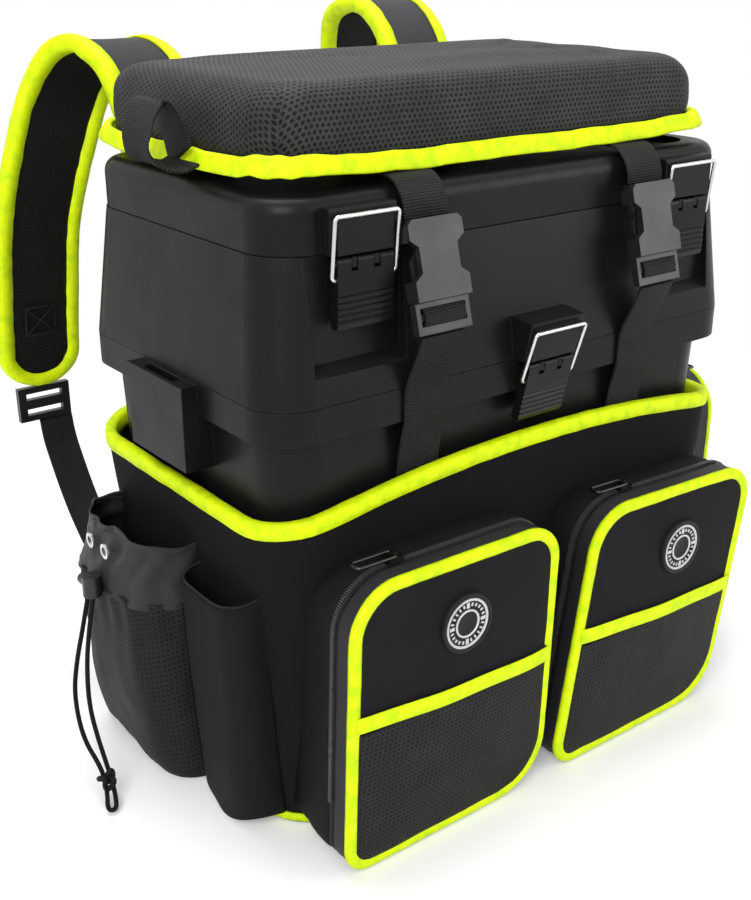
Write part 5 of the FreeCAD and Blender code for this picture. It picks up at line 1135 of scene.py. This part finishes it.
def dress_shoulder(name, path):
    """A padded strap with a round foot, mesh inside, smooth cloth outside and a bound edge."""
    _, across, up = frames(path, (1, 0, 0))
    run = np.r_[0, np.cumsum(np.linalg.norm(np.diff(path, axis=0), axis=1))]
    reach = SHOULDER_WIDE / 2 - 2
    half = reach * np.sqrt(1 - np.clip(1 - (run[-1] - run) / SHOULDER_FOOT, 0, 0.985) ** 2)
    core = rounded_loop(rectangle(2, SHOULDER_THICK - 1), (SHOULDER_THICK - 1) * 0.11, 4, 10)
    count = len(core)
    sections = np.stack([np.outer(half, core[:, 0]), np.broadcast_to(core[:, 1], (len(path), count))], -1)
    pad = sweep(f"shoulder_pad_{name}", path, (1, 0, 0), sections)
    dress(pad, STRAP_NET)
    pad.data.materials.append(STRAP_CLOTH)
    for face in pad.data.polygons:
        face.material_index = int(core[face.vertices[0] % count, 1] < 0)

    start = run[-1] - SHOULDER_FOOT
    turn = np.linspace(0, math.pi, 40)
    sides = np.linspace(0, start, 90)[:-1]
    along = np.r_[sides, start + 25.5 * np.sin(turn), sides[::-1]]
    lateral = np.r_[np.full(89, -reach), -reach * np.cos(turn), np.full(89, reach)]
    place, wide, high = [
        np.stack([np.interp(along, run, field[:, k]) for k in range(3)], 1) for field in (path, across, up)
    ]
    outline = place + wide * lateral[:, None]
    _, _, way = frames(outline, high)
    flip = math.copysign(1, float((way[5] * wide[5]).sum() * lateral[5]))
    wave = lifts(outline, 9, 3.0)
    sections = np.array(SHOULDER_TAPE) * (1, flip)
    sections = sections[None] * np.stack([1 + 0.05 * wave, 1 + 0.09 * wave], 1)[:, None]
    trim = sweep(f"shoulder_tape_{name}", outline, high, sections)
    dress(trim, LIME_TAPE)

    here = len(path) - 16
    deep = unit(path[here + 1] - path[here])
    corners = [path[here] + up[here] * 5.4 + across[here] * a + deep * b for a, b in BOX_STITCH]
    stitches = [edge_hem("stitch", resample(pair, 4), 0.5, up[here]) for pair in zip(corners, corners[1:])]
    box = joined(f"shoulder_stitches_{name}", stitches)
    dress(box, HEM)
    for piece in (pad, trim, box):
        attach(piece, "tray_case")
        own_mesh(piece)
    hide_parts(f"shoulder_strap_{name}")


PANEL_WIDE, PANEL_CORNER = 300, 18
PANEL_EDGE = ((6, 0.2), (0.8, 0.4), (0, 3), (0, 8), (1.2, 10), (4, 11.2), (9, 11.6), (15, 11.8), (22, 12))


def lower_back(z):
    """The face that the lower pad lies on: the bag's back, with a little air."""
    return 106.5 + 11.6 * np.minimum(z, BAG_LOFT) / BAG_LOFT


def upper_back(z):
    """The face that the upper pad lies on: the back of the tray case."""
    return 113.1 - 8.4 * (z - 280.3) / 80.7


def make_back_panel():
    """The back pads, one on the bag and one on the tray case."""
    for place, body, back, low, high in (
        ("lower", BAG, lower_back, 22.0, 262.0), ("upper", "tray_case", upper_back, 298.0, 350.0),
    ):
        rows = []
        for inset, out in PANEL_EDGE:
            corners = rectangle(PANEL_WIDE - 2 * inset, high - low - 2 * inset)
            loop = rounded_loop(corners, max(PANEL_CORNER - inset * 0.6, 3), 8, 24)
            z = loop[:, 1] + (low + high) / 2
            rows.append(np.column_stack([loop[:, 0], back(z) + out, z]))
        pad = patch(f"back_pad_{place}", rows, closed_u=True, caps=(True, True), plane=(0, 2))
        dress(pad, STRAP_NET, body, [f"back_panel_{place}"])


# CAD parts that stay, with their finishes


FINISHES = (
    (BOX_PLASTIC, "tub", "upper_case", "lid"),
    (BUCKLE_PLASTIC, "buckle_prongs", "buckle_sockets", "strap_sliders", "cord_lock"),
    (LATCH_PLASTIC, "latch_lever_left", "latch_lever_right", "latch_lever_centre"),
    (STEEL, "eyelets", "case_hinge_pins", "centre_latch_pin", "lid_hinge_pins", "lid_latch_pins",
     "bail_left", "bail_right", "bail_centre"),
    (DARK_STEEL, *(f"zip_{part}_{name}" for name in POCKETS for part in ("slider", "puller"))),
)


def finish_cad():
    for look, *nodes in FINISHES:
        for node in nodes:
            CAD[node].data.materials.clear()
            CAD[node].data.materials.append(look)


# Floor and light


def area_light(name, place, aim, size, power):
    data = bpy.data.lights.new(name, "AREA")
    data.shape = "RECTANGLE"
    data.size, data.size_y = size
    data.energy = power
    lamp = linked(name, data)
    lamp.location = place
    lamp.rotation_euler = (Vector(aim) - Vector(place)).to_track_quat("-Z", "Y").to_euler()


FLOOR_REACH = 6000
FADE_START, FADE_END = 0.35, 0.95
WORLD_LIGHT = 0.32
LAMPS = (
    ("key", (-1.6, -1.3, 1.7), (0, 0, 0.25), (1.4, 1.4), 42),
    ("fill", (1.7, -1.9, 1.0), (0, 0, 0.25), (1.2, 1.6), 18),
    ("top", (0.1, 0.5, 2.3), (0, 0, 0.3), (1.6, 1.2), 38),
)


def make_floor():
    """A pale floor that holds a soft shadow and fades to the white background."""
    corners = [(x, y, 0) for x, y in 2 * FLOOR_REACH * rectangle(1, 1)]
    floor = new_mesh("floor", corners, [(0, 1, 2, 3)], smooth=False)
    look = Look("floor", (0.88, 0.88, 0.88), 0.9, Specular_IOR_Level=0.1)
    path = look.node("LightPath")
    seen = look.maths("MAXIMUM", path.outputs["Is Camera Ray"], path.outputs["Is Glossy Ray"])
    glow = look.node("Emission")
    look.feed(look.maths("MULTIPLY", seen, 0.2), glow.inputs["Strength"])
    lit = look.node("AddShader")
    look.feed(look.shader.outputs[0], lit.inputs[0])
    look.feed(glow.outputs[0], lit.inputs[1])
    away = look.node("VectorMath", operation="LENGTH")
    look.feed(look.place("Object"), away.inputs[0])
    far = look.spread(away.outputs["Value"], FADE_START, FADE_END)
    mix = look.node("MixShader")
    look.feed(look.maths("MULTIPLY", seen, far), mix.inputs[0])
    look.feed(lit.outputs[0], mix.inputs[1])
    look.feed(look.node("Emission").outputs[0], mix.inputs[2])
    look.feed(mix.outputs[0], look.tree.nodes["Material Output"].inputs["Surface"])
    floor.data.materials.append(look.material)


def make_world():
    """White to the camera, in reflections and through clear pieces, and dimmer as light."""
    world = bpy.data.worlds.new("studio")
    bpy.context.scene.world = world
    world.use_nodes = True
    nodes, link = world.node_tree.nodes, world.node_tree.links.new
    path = nodes.new("ShaderNodeLightPath")
    seen = path.outputs["Is Camera Ray"]
    for ray in ("Is Transmission Ray", "Is Glossy Ray"):
        either = nodes.new("ShaderNodeMath")
        either.operation = "MAXIMUM"
        link(seen, either.inputs[0])
        link(path.outputs[ray], either.inputs[1])
        seen = either.outputs[0]
    strength = nodes.new("ShaderNodeMapRange")
    link(seen, strength.inputs["Value"])
    strength.inputs["To Min"].default_value = WORLD_LIGHT
    strength.inputs["To Max"].default_value = 1.0
    back = nodes["Background"]
    link(strength.outputs[0], back.inputs["Strength"])
    back.inputs["Color"].default_value = (1, 1, 1, 1)


make_camera()
make_cord()
make_bag()
for pocket_name, pocket_shape in POCKETS.items():
    make_pocket(pocket_name, pocket_shape)
make_net_pocket()
make_nylon_band()
make_tube_pocket()
make_cushion()
make_front_straps()
make_harness()
make_back_panel()
finish_cad()
make_floor()
make_world()
for lamp in LAMPS:
    area_light(*lamp)
bpy.context.scene.view_settings.view_transform = "Standard"
